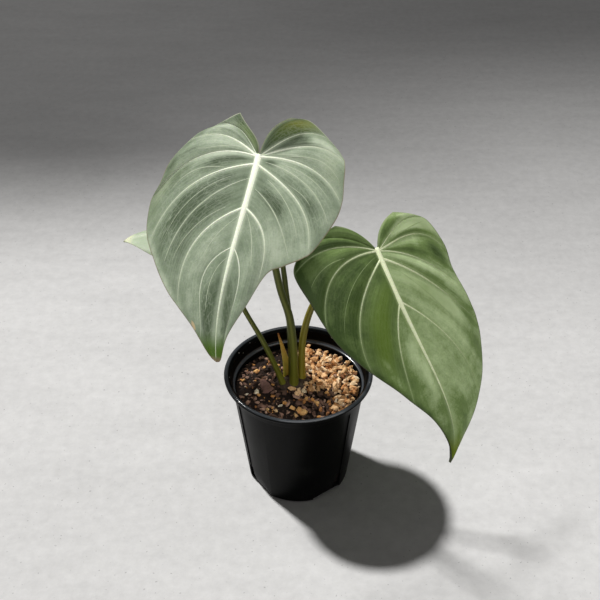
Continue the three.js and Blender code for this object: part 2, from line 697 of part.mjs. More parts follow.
// Pumice grains packed over the mix on the right and round the front.
function pumice() {
  const random = seeded(11);
  const lowest = (x, y) => mixHeight(x, y) + GAP;
  const bed = mixSlab(52, lowest, (x, y) => lowest(x, y) + PUMICE.depth - 0.2);
  const edge = [];
  for (let y = -56; y <= 56; y += 4) edge.push(new THREE.Vector2(edgeAt(y), y));
  const half = new THREE.Shape([...edge, new THREE.Vector2(60, 56), new THREE.Vector2(60, -56)]);
  const over = new THREE.ExtrudeGeometry(half, { depth: 30, bevelEnabled: false });
  let layer = bed.intersect(solidOf(over.translate(0, 0, 70)));
  const centres = [];
  for (let tries = 0; tries < 900 && centres.length < PUMICE.grains; tries += 1) {
    const r = 40 * Math.sqrt(random());
    const angle = 2 * Math.PI * random();
    const x = r * Math.cos(angle);
    const y = r * Math.sin(angle);
    const apart = centres.every((other) => Math.hypot(x - other[0], y - other[1])
      > PUMICE.spacing);
    if (apart && x > edgeAt(y) + 1.5) centres.push([x, y]);
  }
  centres.forEach(([x, y]) => {
    const grain = new THREE.IcosahedronGeometry(PUMICE.grainRadius + 0.8 * random(), 0);
    grain.scale(1.1, 0.85, 0.75).rotateX(random() * 3).rotateZ(random() * 6);
    const middle = lowest(x, y) + PUMICE.depth + PUMICE.standsProud;
    layer = layer.add(solidOf(grain.translate(x, y, middle)));
  });
  const trimmed = layer.subtract(plantedSpace(2 * GAP)).intersect(potRoom(GAP));
  const parts = trimmed.decompose().sort((a, b) => b.volume() - a.volume());
  return piece('pumice', geometryOf(parts[0]), '#c9a06c', 0.9);
}

// The flat flake of bark that lies on the mix left of the stalks.
function barkFlake() {
  const [x, y] = [-23.5, -3];
  const flake = new THREE.DodecahedronGeometry(1, 0).scale(5.2, 7.6, 1.6).rotateZ(0.3);
  flake.translate(x, y, mixHeight(x, y) + 1.2);
  const floor = mixSlab(52, () => 60, (x, y) => mixHeight(x, y) + GAP);
  const seated = solidOf(flake).subtract(floor);
  return piece('bark_flake', geometryOf(seated), '#5b403a', 0.85);
}

// ---------------------------------------------------------------- the whole plant

const plant = new THREE.Group();
plant.add(pot(), pottingMix(), pumice(), barkFlake());
plant.add(piece('rhizome', rhizomeGeometry(0), '#3a2c22', 0.8), dryScale());
Object.keys(STALKS).forEach((name) => plant.add(stalkPiece(name)));
plant.add(rolledLeaf());
Object.entries(LEAVES).forEach(([name, leaf]) => plant.add(...leafPieces(name, leaf)));

export default plant;
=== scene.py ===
"""The look of a potted Philodendron gloriosum: velvety blades with pale nets of veins, olive
stalks, a black nursery pot, dark potting mix and pumice. Shapes are worked out in millimetres
and made in metres, on the frame of the solids."""

import json
import math

import bmesh
import bpy
import numpy as np
from mathutils import Matrix, Vector, noise

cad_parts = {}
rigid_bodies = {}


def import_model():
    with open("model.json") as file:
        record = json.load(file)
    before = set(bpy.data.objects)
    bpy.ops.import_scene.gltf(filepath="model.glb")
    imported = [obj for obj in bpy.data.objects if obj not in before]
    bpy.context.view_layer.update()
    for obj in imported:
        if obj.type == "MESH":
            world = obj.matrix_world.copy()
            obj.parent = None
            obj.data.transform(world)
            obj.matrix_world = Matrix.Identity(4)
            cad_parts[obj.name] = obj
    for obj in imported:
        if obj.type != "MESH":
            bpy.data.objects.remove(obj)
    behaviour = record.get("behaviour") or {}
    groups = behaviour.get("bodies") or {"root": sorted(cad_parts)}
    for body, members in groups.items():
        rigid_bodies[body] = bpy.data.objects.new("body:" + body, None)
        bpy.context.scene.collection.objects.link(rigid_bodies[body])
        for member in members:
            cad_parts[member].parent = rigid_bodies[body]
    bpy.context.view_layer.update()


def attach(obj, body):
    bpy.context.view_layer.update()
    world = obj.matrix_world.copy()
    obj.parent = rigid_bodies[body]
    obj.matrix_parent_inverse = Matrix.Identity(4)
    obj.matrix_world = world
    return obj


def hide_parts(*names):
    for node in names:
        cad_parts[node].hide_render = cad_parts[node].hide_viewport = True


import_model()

MM = 0.001
ROOT_BODY = "root"


def put(name, data):
    """A new object in the scene, for a mesh, a light or a camera."""
    thing = bpy.data.objects.new(name, data)
    bpy.context.collection.objects.link(thing)
    return thing


# ---------------------------------------------------------------- camera

CAMERA_PLACE = (0.00114, -0.6151, 0.6246)
CAMERA_TILT = 52.794            # degrees up from looking straight down
CAMERA_ANGLE = 29.24            # how wide the view is, in degrees

camera = put("camera", bpy.data.cameras.new("camera"))
camera.location = CAMERA_PLACE
camera.rotation_euler = (math.radians(CAMERA_TILT), 0, 0)
camera.data.angle = math.radians(CAMERA_ANGLE)
camera.data.clip_end = 20
bpy.context.scene.camera = camera


# ---------------------------------------------------------------- finishes


class Signal:
    """One output of a shader node. Sums with it add Math nodes."""

    def __init__(self, finish, socket):
        self.finish, self.socket = finish, socket

    def _sum(self, operation, *terms):
        return self.finish.add("Math", {"operation": operation}, dict(enumerate(terms)))

    def __add__(self, other):
        return self._sum("ADD", self, other)

    def __sub__(self, other):
        return self._sum("SUBTRACT", self, other)

    def __rsub__(self, other):
        return self._sum("SUBTRACT", other, self)

    def __mul__(self, other):
        return self._sum("MULTIPLY", self, other)

    def __truediv__(self, other):
        return self._sum("DIVIDE", self, other)

    def __rtruediv__(self, other):
        return self._sum("DIVIDE", other, self)

    def __abs__(self):
        return self._sum("ABSOLUTE", self)

    __radd__ = __add__
    __rmul__ = __mul__

    def sine(self):
        return self._sum("SINE", self)

    def fraction(self):
        return self._sum("FRACT", self)

    def most(self, other):
        return self._sum("MAXIMUM", self, other)

    def ramp(self, low, high):
        """0 at low and 1 at high, with soft ends."""
        settings = {"interpolation_type": "SMOOTHSTEP"}
        return self.finish.add("MapRange", settings, {0: self, 1: low, 2: high})


class Finish:
    """A material with one Principled surface, whose constants are set on its own sockets."""

    def __init__(self, name, **constants):
        self.material = bpy.data.materials.new(name)
        self.material.use_nodes = True
        self.nodes = self.material.node_tree.nodes
        self.links = self.material.node_tree.links
        self.nodes.clear()
        self.output = self.nodes.new("ShaderNodeOutputMaterial")
        self.surface = self.nodes.new("ShaderNodeBsdfPrincipled")
        self.links.new(self.surface.outputs[0], self.output.inputs[0])
        for word, value in constants.items():
            label = word.replace("_", " ").title().replace("Ior", "IOR")
            self.plug(self.surface.inputs[label], value)

    def plug(self, socket, value):
        if isinstance(value, Signal):
            self.links.new(value.socket, socket)
        elif socket.type == "RGBA":
            socket.default_value = (*value, 1)
        else:
            socket.default_value = value

    def add(self, kind, settings=None, inputs=None, outlet=0):
        """Adds any node: its settings first, then what its sockets take."""
        node = self.nodes.new("ShaderNode" + kind)
        for key, value in (settings or {}).items():
            if key == "stops":
                stops = node.color_ramp.elements
                for stop, (place, colour) in zip((stops[0], stops[1]), (value[0], value[-1])):
                    stop.position, stop.color = place, (*colour, 1)
                for place, colour in value[1:-1]:
                    stops.new(place).color = (*colour, 1)
            else:
                setattr(node, key, value)
        for key, value in (inputs or {}).items():
            self.plug(node.inputs[key], value)
        return Signal(self, node.outputs[outlet])

    def measured(self, name):
        """A number kept on the mesh's points."""
        return self.add("Attribute", {"attribute_name": name}, outlet=2)

    def spots(self, scale, detail=2.0, at=None, roughness=0.5):
        """Soft noise, about 0 to 1 round 0.5."""
        where = at or self.add("TexCoord", outlet=3)
        inputs = {"Vector": where, "Scale": scale, "Detail": detail, "Roughness": roughness}
        return self.add("TexNoise", None, inputs)

    def place(self, x, y, z=0.0):
        return self.add("CombineXYZ", None, {0: x, 1: y, 2: z})

    def mix(self, share, first, second):
        return self.add("Mix", {"data_type": "RGBA"}, {0: share, 6: first, 7: second}, 2)

    def colours(self, value, *stops):
        return self.add("ValToRGB", {"stops": stops}, {0: value})

    def finish(self, colour, roughness, height, depth):
        """Sets what varies: colour, roughness, and a relief of that depth in metres."""
        self.plug(self.surface.inputs["Base Color"], colour)
        self.plug(self.surface.inputs["Roughness"], roughness)
        inputs = {"Height": height, "Distance": depth, "Strength": 1.0}
        self.plug(self.surface.inputs["Normal"], self.add("Bump", None, inputs))
        return self.material


LEAF_FLESH = {"subsurface_radius": (0.5, 1.0, 0.2), "subsurface_scale": 0.001}
GLOW = (0.21, 0.235, 0.05)      # light that comes through a thin lobe
DRY_SCAR = (0.50, 0.38, 0.22)


def blade_finish(name, dark, middle, light, yellow, halo, tip, under, rim, rim_width, threads,
                 seed):
    """The blade's skin: mottled green with painted light and shade, paler beside the veins, with
    fine side veinlets.
    """
    f = Finish(name, specular_ior_level=0.12, sheen_weight=0.06, sheen_roughness=0.42,
               sheen_tint=(0.85, 0.95, 0.85), subsurface_weight=0.06, **LEAF_FLESH)
    line, reach = f.measured("line"), f.measured("reach")
    pitch, vein, rib = f.measured("pitch"), f.measured("vein_mm"), f.measured("rib_mm")
    edge, upper, ahead = f.measured("edge_mm"), f.measured("upper"), f.measured("ahead")

    # the mottle: streaks and threads along the veins, and clouds over them, laid on the patches of
    # painted light and shade and the blade's own tones; then the yellower tints, in part painted
    # light through thin lobes, and the painted light that comes through a thin lobe
    streak = f.spots(1.0, 3.0, f.place(line * 1.3 + seed, reach * 2.2), 0.6)
    thread = f.spots(1.0, 3.0, f.place(line * 7.0 + seed, reach * 3.5), 0.7)
    cloud = f.spots(60.0, 4.0, None, 0.6)
    blotch = f.spots(190.0, 3.0, None, 0.6)
    fine = f.spots(900.0, 2.0)
    tone = f.measured("tone") * 1.45 + (streak - 0.5) * 0.75 + (cloud - 0.5) * 1.2
    tone = tone + (thread - 0.5) * 0.4 + (fine - 0.5) * 0.5 + (blotch - 0.5) * 0.65
    colour = f.colours(tone * 0.5 + 0.5, (0.0, dark), (0.5, middle), (1.0, light))
    green = (f.measured("tint") + (cloud - 0.5) * 0.5).ramp(0.0, 1.0)
    colour = f.mix(green * 0.85, colour, yellow)
    colour = f.mix(f.measured("glow") * (0.3 + blotch * 1.2), colour, GLOW)

    # the veinlets: hairlines between the veins, a fine net, and the minor veins
    drift = line + (f.spots(1.0, 1.0, f.place(line * 0.5, reach * 3.0, seed)) - 0.5) * 0.5
    shown = reach.ramp(0.05, 0.22) * reach.ramp(1.0, 0.8) * (0.3 + cloud * 0.8)
    hairline = (abs((drift * 2.0 + 0.5).fraction() - 0.5) * pitch / 2.0).ramp(0.5, 0.05)
    cells = f.add("TexVoronoi", {"feature": "DISTANCE_TO_EDGE"},
                  {"Vector": f.place(line * 3.0 + cloud * 0.6, reach * 15.0), "Scale": 1.0})
    netted = cells.ramp(0.11, 0.0) * (0.3 + cloud)
    threaded = (hairline * threads).most(netted * threads * 1.5)
    lines = (f.measured("minor").ramp(0.1, 1.0) * 0.5).most(threaded) * shown * 1.5
    colour = f.mix(lines, colour, halo)

    # the pale bands beside the veins, then the tip, the underside, the edge (browned on the front
    # blade, painted shade along the green blade's edge) and the scar
    beside_rib = rib.ramp(3.9, 1.2) * (0.95 - ahead.ramp(0.2, 0.9) * 0.5)
    beside = (vein.ramp(1.9, 0.4) * (0.85 - reach * 0.6)).most(beside_rib)
    colour = f.mix(beside * (0.5 + fine * 0.25), colour, halo)
    colour = f.mix(ahead.ramp(0.85, 0.95) * 0.95, colour, tip)
    colour = f.mix(ahead.ramp(0.968, 0.99) * 0.7, colour, rim)
    colour = f.mix(upper.ramp(0.6, 0.4) * 0.95, colour, under)
    # how strongly the edge colour shows: browning on the front blade, painted shade on the green
    # one
    brown_and_shade_share = 0.35 + cloud * 0.8 + ahead.ramp(0.85, 0.98) * 0.6
    at_edge = f.mix(ahead.ramp(0.02, -0.08) * 0.6, rim, halo)
    colour = f.mix(edge.ramp(rim_width, rim_width * 0.3) * brown_and_shade_share, colour, at_edge)
    colour = f.mix(f.measured("scar").ramp(0.25, 0.6) * 0.8, colour, DRY_SCAR)

    relief = lines * 0.6 + fine * 0.12 + streak * 0.25
    return f.finish(colour, 0.5 + (fine - 0.5) * 0.16, relief, 0.0003)


def vein_finish(name, pale, thin):
    """The raised veins: pale at the root, and greener where they thin out."""
    f = Finish(name, specular_ior_level=0.4, sheen_weight=0.1, subsurface_weight=0.1,
               subsurface_radius=(0.6, 1.0, 0.3), subsurface_scale=0.001)
    fine = f.spots(700.0, 2.0)
    colour = f.mix((f.measured("fade") + (fine - 0.5) * 0.4).ramp(0.1, 1.05), pale, thin)
    return f.finish(colour, 0.5 + (fine - 0.5) * 0.2, fine, 0.0001)


def stalk_finish(name, foot, middle, top, pale):
    """Olive skin with a paler ridge on one side, fine flecks and a yellow-green foot."""
    f = Finish(name, specular_ior_level=0.28, coat_roughness=0.35, subsurface_weight=0.08,
               **LEAF_FLESH)
    along, around = f.measured("along"), f.measured("around")
    length = f.spots(1.0, 3.0, f.place(around * 5.0, along * 9.0), 0.6)
    fleck = f.spots(1.0, 2.0, f.place(around * 22.0, along * 110.0), 0.6)
    colour = f.colours(along + (length - 0.5) * 0.16, (0.0, foot), (0.22, middle), (1.0, top))
    colour = f.mix(abs(around - 0.5).ramp(0.16, 0.03) * 0.4, colour, pale)
    colour = f.mix(fleck.ramp(0.58, 0.72) * 0.45, colour, pale)
    return f.finish(colour, 0.36 + length * 0.18, length * 0.6 + fleck * 0.4, 0.00022)


def rolled_finish():
    """The rolled young leaf: bright green, with the ribs of its veins wound round it."""
    f = Finish("rolled_skin", specular_ior_level=0.5, sheen_weight=0.2, subsurface_weight=0.15,
               **LEAF_FLESH)
    along, around = f.measured("along"), f.measured("around")
    ribs = (around * 26.0 + along * 9.0).sine()
    cloud = f.spots(120.0, 3.0)
    colour = f.colours(along * 0.8 + cloud * 0.3, (0.0, (0.26, 0.34, 0.10)),
                       (0.6, (0.20, 0.36, 0.10)), (1.0, (0.14, 0.22, 0.05)))
    colour = f.mix(ribs.ramp(0.5, 1.0) * 0.5, colour, (0.45, 0.55, 0.28))
    return f.finish(colour, 0.45 + cloud * 0.1, ribs, 0.00015)


def pot_finish():
    """Black moulded plastic, with faint flow streaks, a little dust, and painted highlights on the
    lip and the ledge.
    """
    f = Finish("black_plastic", specular_ior_level=0.04, coat_roughness=0.16)
    where = f.add("TexCoord", outlet=3)
    flow = f.add("Mapping", None, {0: where, 3: (1.0, 1.0, 0.12)})
    streak = f.spots(160.0, 3.0, flow)
    dust = f.spots(1600.0, 3.0, where, 0.7)
    smear_and_sheen = f.spots(45.0, 3.0, where)
    high = f.add("SeparateXYZ", None, {0: where}, 2)
    out = f.add("VectorMath", {"operation": "LENGTH"}, {0: flow}, 1)
    # the top of the lip and the ledge inside it get a painted bluish-grey highlight and a clear
    # coat, found by their heights in metres
    lip = high.ramp(0.0938, 0.0948)
    ledge = high.ramp(0.0835, 0.0845) * high.ramp(0.0868, 0.0858) * out.ramp(0.0485, 0.047)
    colour = f.mix((dust * smear_and_sheen * 2.0).ramp(0.5, 0.95) * 0.25,
                   (0.0014, 0.0016, 0.0015), (0.024, 0.024, 0.023))
    # painted highlight on the lip and the ledge, patchy with the same noise as the dust
    colour = f.mix(lip.most(ledge * 1.5) * (0.4 + smear_and_sheen * 0.6), colour, (0.052, 0.060, 0.070))
    speck = f.spots(330.0, 1.0, where).ramp(0.72, 0.76) * high.ramp(0.088, 0.090)
    colour = f.mix(speck * 0.6, colour, (0.60, 0.58, 0.55))
    f.plug(f.surface.inputs["Coat Weight"], lip.most(ledge) * 0.9)
    rough = 0.3 + streak * 0.12 + smear_and_sheen * 0.1
    return f.finish(colour, rough, streak * 0.4 + dust * 0.25, 0.00012)


def grain_finish(name, stops, pits, depth):
    """Stony or woody bits: each bit has its own shade, with brown in its pits."""
    f = Finish(name, specular_ior_level=0.3)
    shade = f.measured("shade")
    pore = f.spots(pits, 3.0, None, 0.65)
    patch = f.spots(pits * 0.22, 2.0)
    colour = f.colours(shade + (patch - 0.5) * 0.3 + (pore - 0.5) * 0.18, *stops)
    colour = f.mix(pore.ramp(0.5, 0.32) * 0.4, colour, (0.12, 0.060, 0.030))
    return f.finish(colour, 0.85 + (pore - 0.5) * 0.2, pore + patch * 0.6, depth)


def scale_finish():
    """The dry sheath: straw to brown, with fibres that run lengthways."""
    f = Finish("dry_sheath", specular_ior_level=0.35, subsurface_weight=0.1,
               subsurface_radius=(1.0, 0.5, 0.15), subsurface_scale=0.001)
    along, around = f.measured("along"), f.measured("around")
    fibre = f.spots(1.0, 3.0, f.place(around * 34.0, along * 5.0), 0.7)
    blotch = f.spots(230.0, 3.0)
    colour = f.colours(along + (fibre - 0.5) * 0.5 + (blotch - 0.5) * 0.35,
                       (0.0, (0.50, 0.44, 0.04)), (0.35, (0.86, 0.68, 0.12)),
                       (0.75, (0.88, 0.56, 0.14)), (1.0, (0.45, 0.16, 0.05)))
    return f.finish(colour, 0.6 + fibre * 0.2, fibre, 0.0002)


def mix_finish():
    """Damp dark potting mix, in crumbs and dust."""
    f = Finish("dark_mix", specular_ior_level=0.25)
    lump, dirt = f.spots(420.0, 4.0, None, 0.7), f.spots(2600.0, 2.0)
    colour = f.colours(lump * 0.7 + dirt * 0.3, (0.28, (0.005, 0.003, 0.002)),
                       (0.52, (0.018, 0.010, 0.007)), (0.78, (0.065, 0.034, 0.022)))
    return f.finish(colour, 0.7 + dirt * 0.25, lump + dirt * 0.5, 0.0012)


def rhizome_finish():
    """The creeping stem's brown skin, scarred and fibrous."""
    f = Finish("rhizome_skin", specular_ior_level=0.35)
    scar, fibre = f.spots(300.0, 4.0, None, 0.65), f.spots(1400.0, 3.0)
    colour = f.colours(scar * 0.7 + fibre * 0.3, (0.3, (0.02, 0.013, 0.01)),
                       (0.55, (0.07, 0.045, 0.03)), (0.8, (0.17, 0.15, 0.09)))
    return f.finish(colour, 0.6 + fibre * 0.2, scar + fibre * 0.4, 0.0007)


def floor_finish():
    """Pale smoothed concrete, with painted shade that darkens it away from the light, most at the
    back and left.
    """
    f = Finish("pale_floor", specular_ior_level=0.1)
    where = f.add("TexCoord", outlet=3)
    right = f.add("SeparateXYZ", None, {0: where}, 0)
    far = f.add("SeparateXYZ", None, {0: where}, 1)
    cloud = f.spots(5.0, 5.0, where, 0.6)
    drift = (f.spots(2.5, 4.0, where, 0.6) - 0.5) * 0.14
    grit = f.spots(120.0, 4.0, where, 0.65)
    # painted shade: the floor's colour falls off towards the back, most on the left
    left_painted_falloff = 1.0 - (far + drift).ramp(0.215, 0.50) * 0.835
    right_painted_falloff = 1.0 - (far + drift * 0.5).ramp(0.0, 0.84) * 0.88
    side = right.ramp(-0.30, 0.30)
    painted_falloff = left_painted_falloff * (1.0 - side) + right_painted_falloff * side
    brushed = f.spots(1.0, 4.0, f.add("Mapping", None, {0: where, 3: (9.0, 34.0, 1.0)}), 0.6)
    speck = f.spots(420.0, 1.0, where).ramp(0.71, 0.77)
    mottle = 1.0 + (cloud - 0.5) * 0.2 + (grit - 0.5) * 0.3 + (brushed - 0.5) * 0.22
    mottle = mottle * (1.0 - speck * 0.3)
    colour = f.mix(painted_falloff * mottle * 0.765, (0.008, 0.008, 0.009), (0.93, 0.932, 0.937))
    return f.finish(colour, 0.8 + (grit - 0.5) * 0.2, grit * 0.4 + cloud * 0.3, 0.0006)


# ---------------------------------------------------------------- making pieces


def add_piece(name, points, faces, material, replaces=(), measures=None, crease=None):
    """A finished piece in the row's frame: points in millimetres, and numbers kept on them."""
    mesh = bpy.data.meshes.new(name)
    mesh.from_pydata((np.asarray(points) * MM).tolist(), [],
                     [list(map(int, face)) for face in faces])
    for word, values in (measures or {}).items():
        attribute = mesh.attributes.new(word, "FLOAT", "POINT")
        attribute.data.foreach_set("value", np.asarray(values, dtype=np.float32))
    mesh.shade_smooth()
    if crease:
        mesh.set_sharp_from_angle(angle=math.radians(crease))
    mesh.materials.append(material)
    piece = put(name, mesh)
    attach(piece, ROOT_BODY)
    if replaces:
        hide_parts(*replaces)


def angles(sides):
    """The headings of a ring's points, in radians."""
    return [2 * math.pi * k / sides for k in range(sides)]


def grid_faces(rows, columns, wraps=False, start=0):
    """Quads over a grid of points; wraps joins the last column to the first."""
    faces = []
    across = columns if wraps else columns - 1
    for i in range(rows - 1):
        for k in range(across):
            a, b = start + i * columns + k, start + i * columns + (k + 1) % columns
            faces.append((a, b, b + columns, a + columns))
    return faces


def closed_sheet(faces, count):
    """Closes a sheet into a thin solid, whose other side is the same points, count further on."""
    rim = {}
    for face in faces:
        for a, b in zip(face, face[1:] + face[:1]):
            if (b, a) in rim:
                del rim[(b, a)]
            else:
                rim[(a, b)] = True
    other_side = [[v + count for v in reversed(face)] for face in faces]
    return faces + other_side + [[b, a, a + count, b + count] for a, b in rim]


def closed_rod(rings, sides, start=0):
    """Faces of a rod of rings of points, with both its ends closed."""
    end = start + rings * sides
    faces = grid_faces(rings, sides, True, start)
    return faces + [list(range(start + sides - 1, start - 1, -1)), list(range(end - sides, end))]


def ball(level):
    """Points and faces of a ball of radius 1, finer with each level."""
    mesh = bmesh.new()
    bmesh.ops.create_icosphere(mesh, subdivisions=level, radius=1.0)
    points = np.array([v.co[:] for v in mesh.verts])
    faces = [[v.index for v in face.verts] for face in mesh.faces]
    mesh.free()
    return points, faces


def spline(padded, u):
    """Points on a smooth line, u from 0 to 1, through all but the first and last knot."""
    last = len(padded) - 3
    place = np.asarray(u) * last
    i = np.minimum(place.astype(int), last - 1)
    w = (place - i)[..., None]
    p0, p1, p2, p3 = (padded[i + k] for k in range(4))
    v1, v2 = (p2 - p0) / 2, (p3 - p1) / 2
    return (2 * p1 - 2 * p2 + v1 + v2) * w**3 + (3 * p2 - 3 * p1 - 2 * v1 - v2) * w**2 + v1 * w + p1


def smooth_route(knots, u):
    """Points on a smooth route through the knots, which leaves its ends straight."""
    knots = np.asarray(knots, dtype=float)
    before, after = 2 * knots[0] - knots[1], 2 * knots[-1] - knots[-2]
    return spline(np.vstack([before, knots, after]), u)


# ---------------------------------------------------------------- leaf blades

BLADE_THICKNESS = 0.8
RIB_DEPTH = 1.3
USUAL_LENGTH = 140      # of a blade that the depths and widths of ribs and veins are given for
LOBE_LENGTH = 0.2       # that a lobe's droop is spread over, in blade lengths
CUP_WIDTH = 0.9         # that a half's cup is spread over, in blade lengths
NOTCH_SPAN = 0.2        # stations from the notch over which the blade lifts
STEP = 1e-3             # small share of a blade's length, for slopes along and across its veins

# A place on half a blade has a station, 0 at the notch to 1 at the tip round the margin, and a
# reach, 0 on the midrib to 1 on the margin.
# A leaf's veins are (where they end round the margin, where they leave the midrib); its margin
# is (ahead of the stalk, out from the midrib) in blade lengths, and its bow is (station, how far
# the veins bow, how much more near the midrib). Left half first in each pair. The minor veins
# are (reach from, to, station at the start, middle and end, strength), and the patches are
# (station, reach, half width, half length, how much lighter); as well as the blade's own mottle,
# the patches paint light and shade: the shade and cast shadow of the curled lobes by the notch,
# shaded halves and edges, and the lit and shaded sides of the quilting. The tints (yellower, in
# part painted light through thin lobes), glows (painted light through a thin lobe) and scars are
# as the patches. Drawn is how strong each vein is, veinlets counts the spaces in each
# gap between veins, and rib and side are the widths of the raised midrib and side veins.
SMALL_MARGIN = [[-0.215, 0.155], [-0.185, 0.235], [-0.1, 0.325], [0.02, 0.4], [0.17, 0.45],
                [0.33, 0.455], [0.5, 0.4], [0.67, 0.295], [0.82, 0.17], [0.93, 0.065], [1, 0]]
SMALL_BOW = [[0, 0.1, 0], [0.24, 0.16, 0], [0.4, 0.13, 0], [0.755, 0.19, 0], [1, 0, 0]]
SMALL_MINOR = [(0.1, 0.8, place, place, place, 0.5) for place in (0.32, 0.49, 0.67)]
NONE = ([], [])
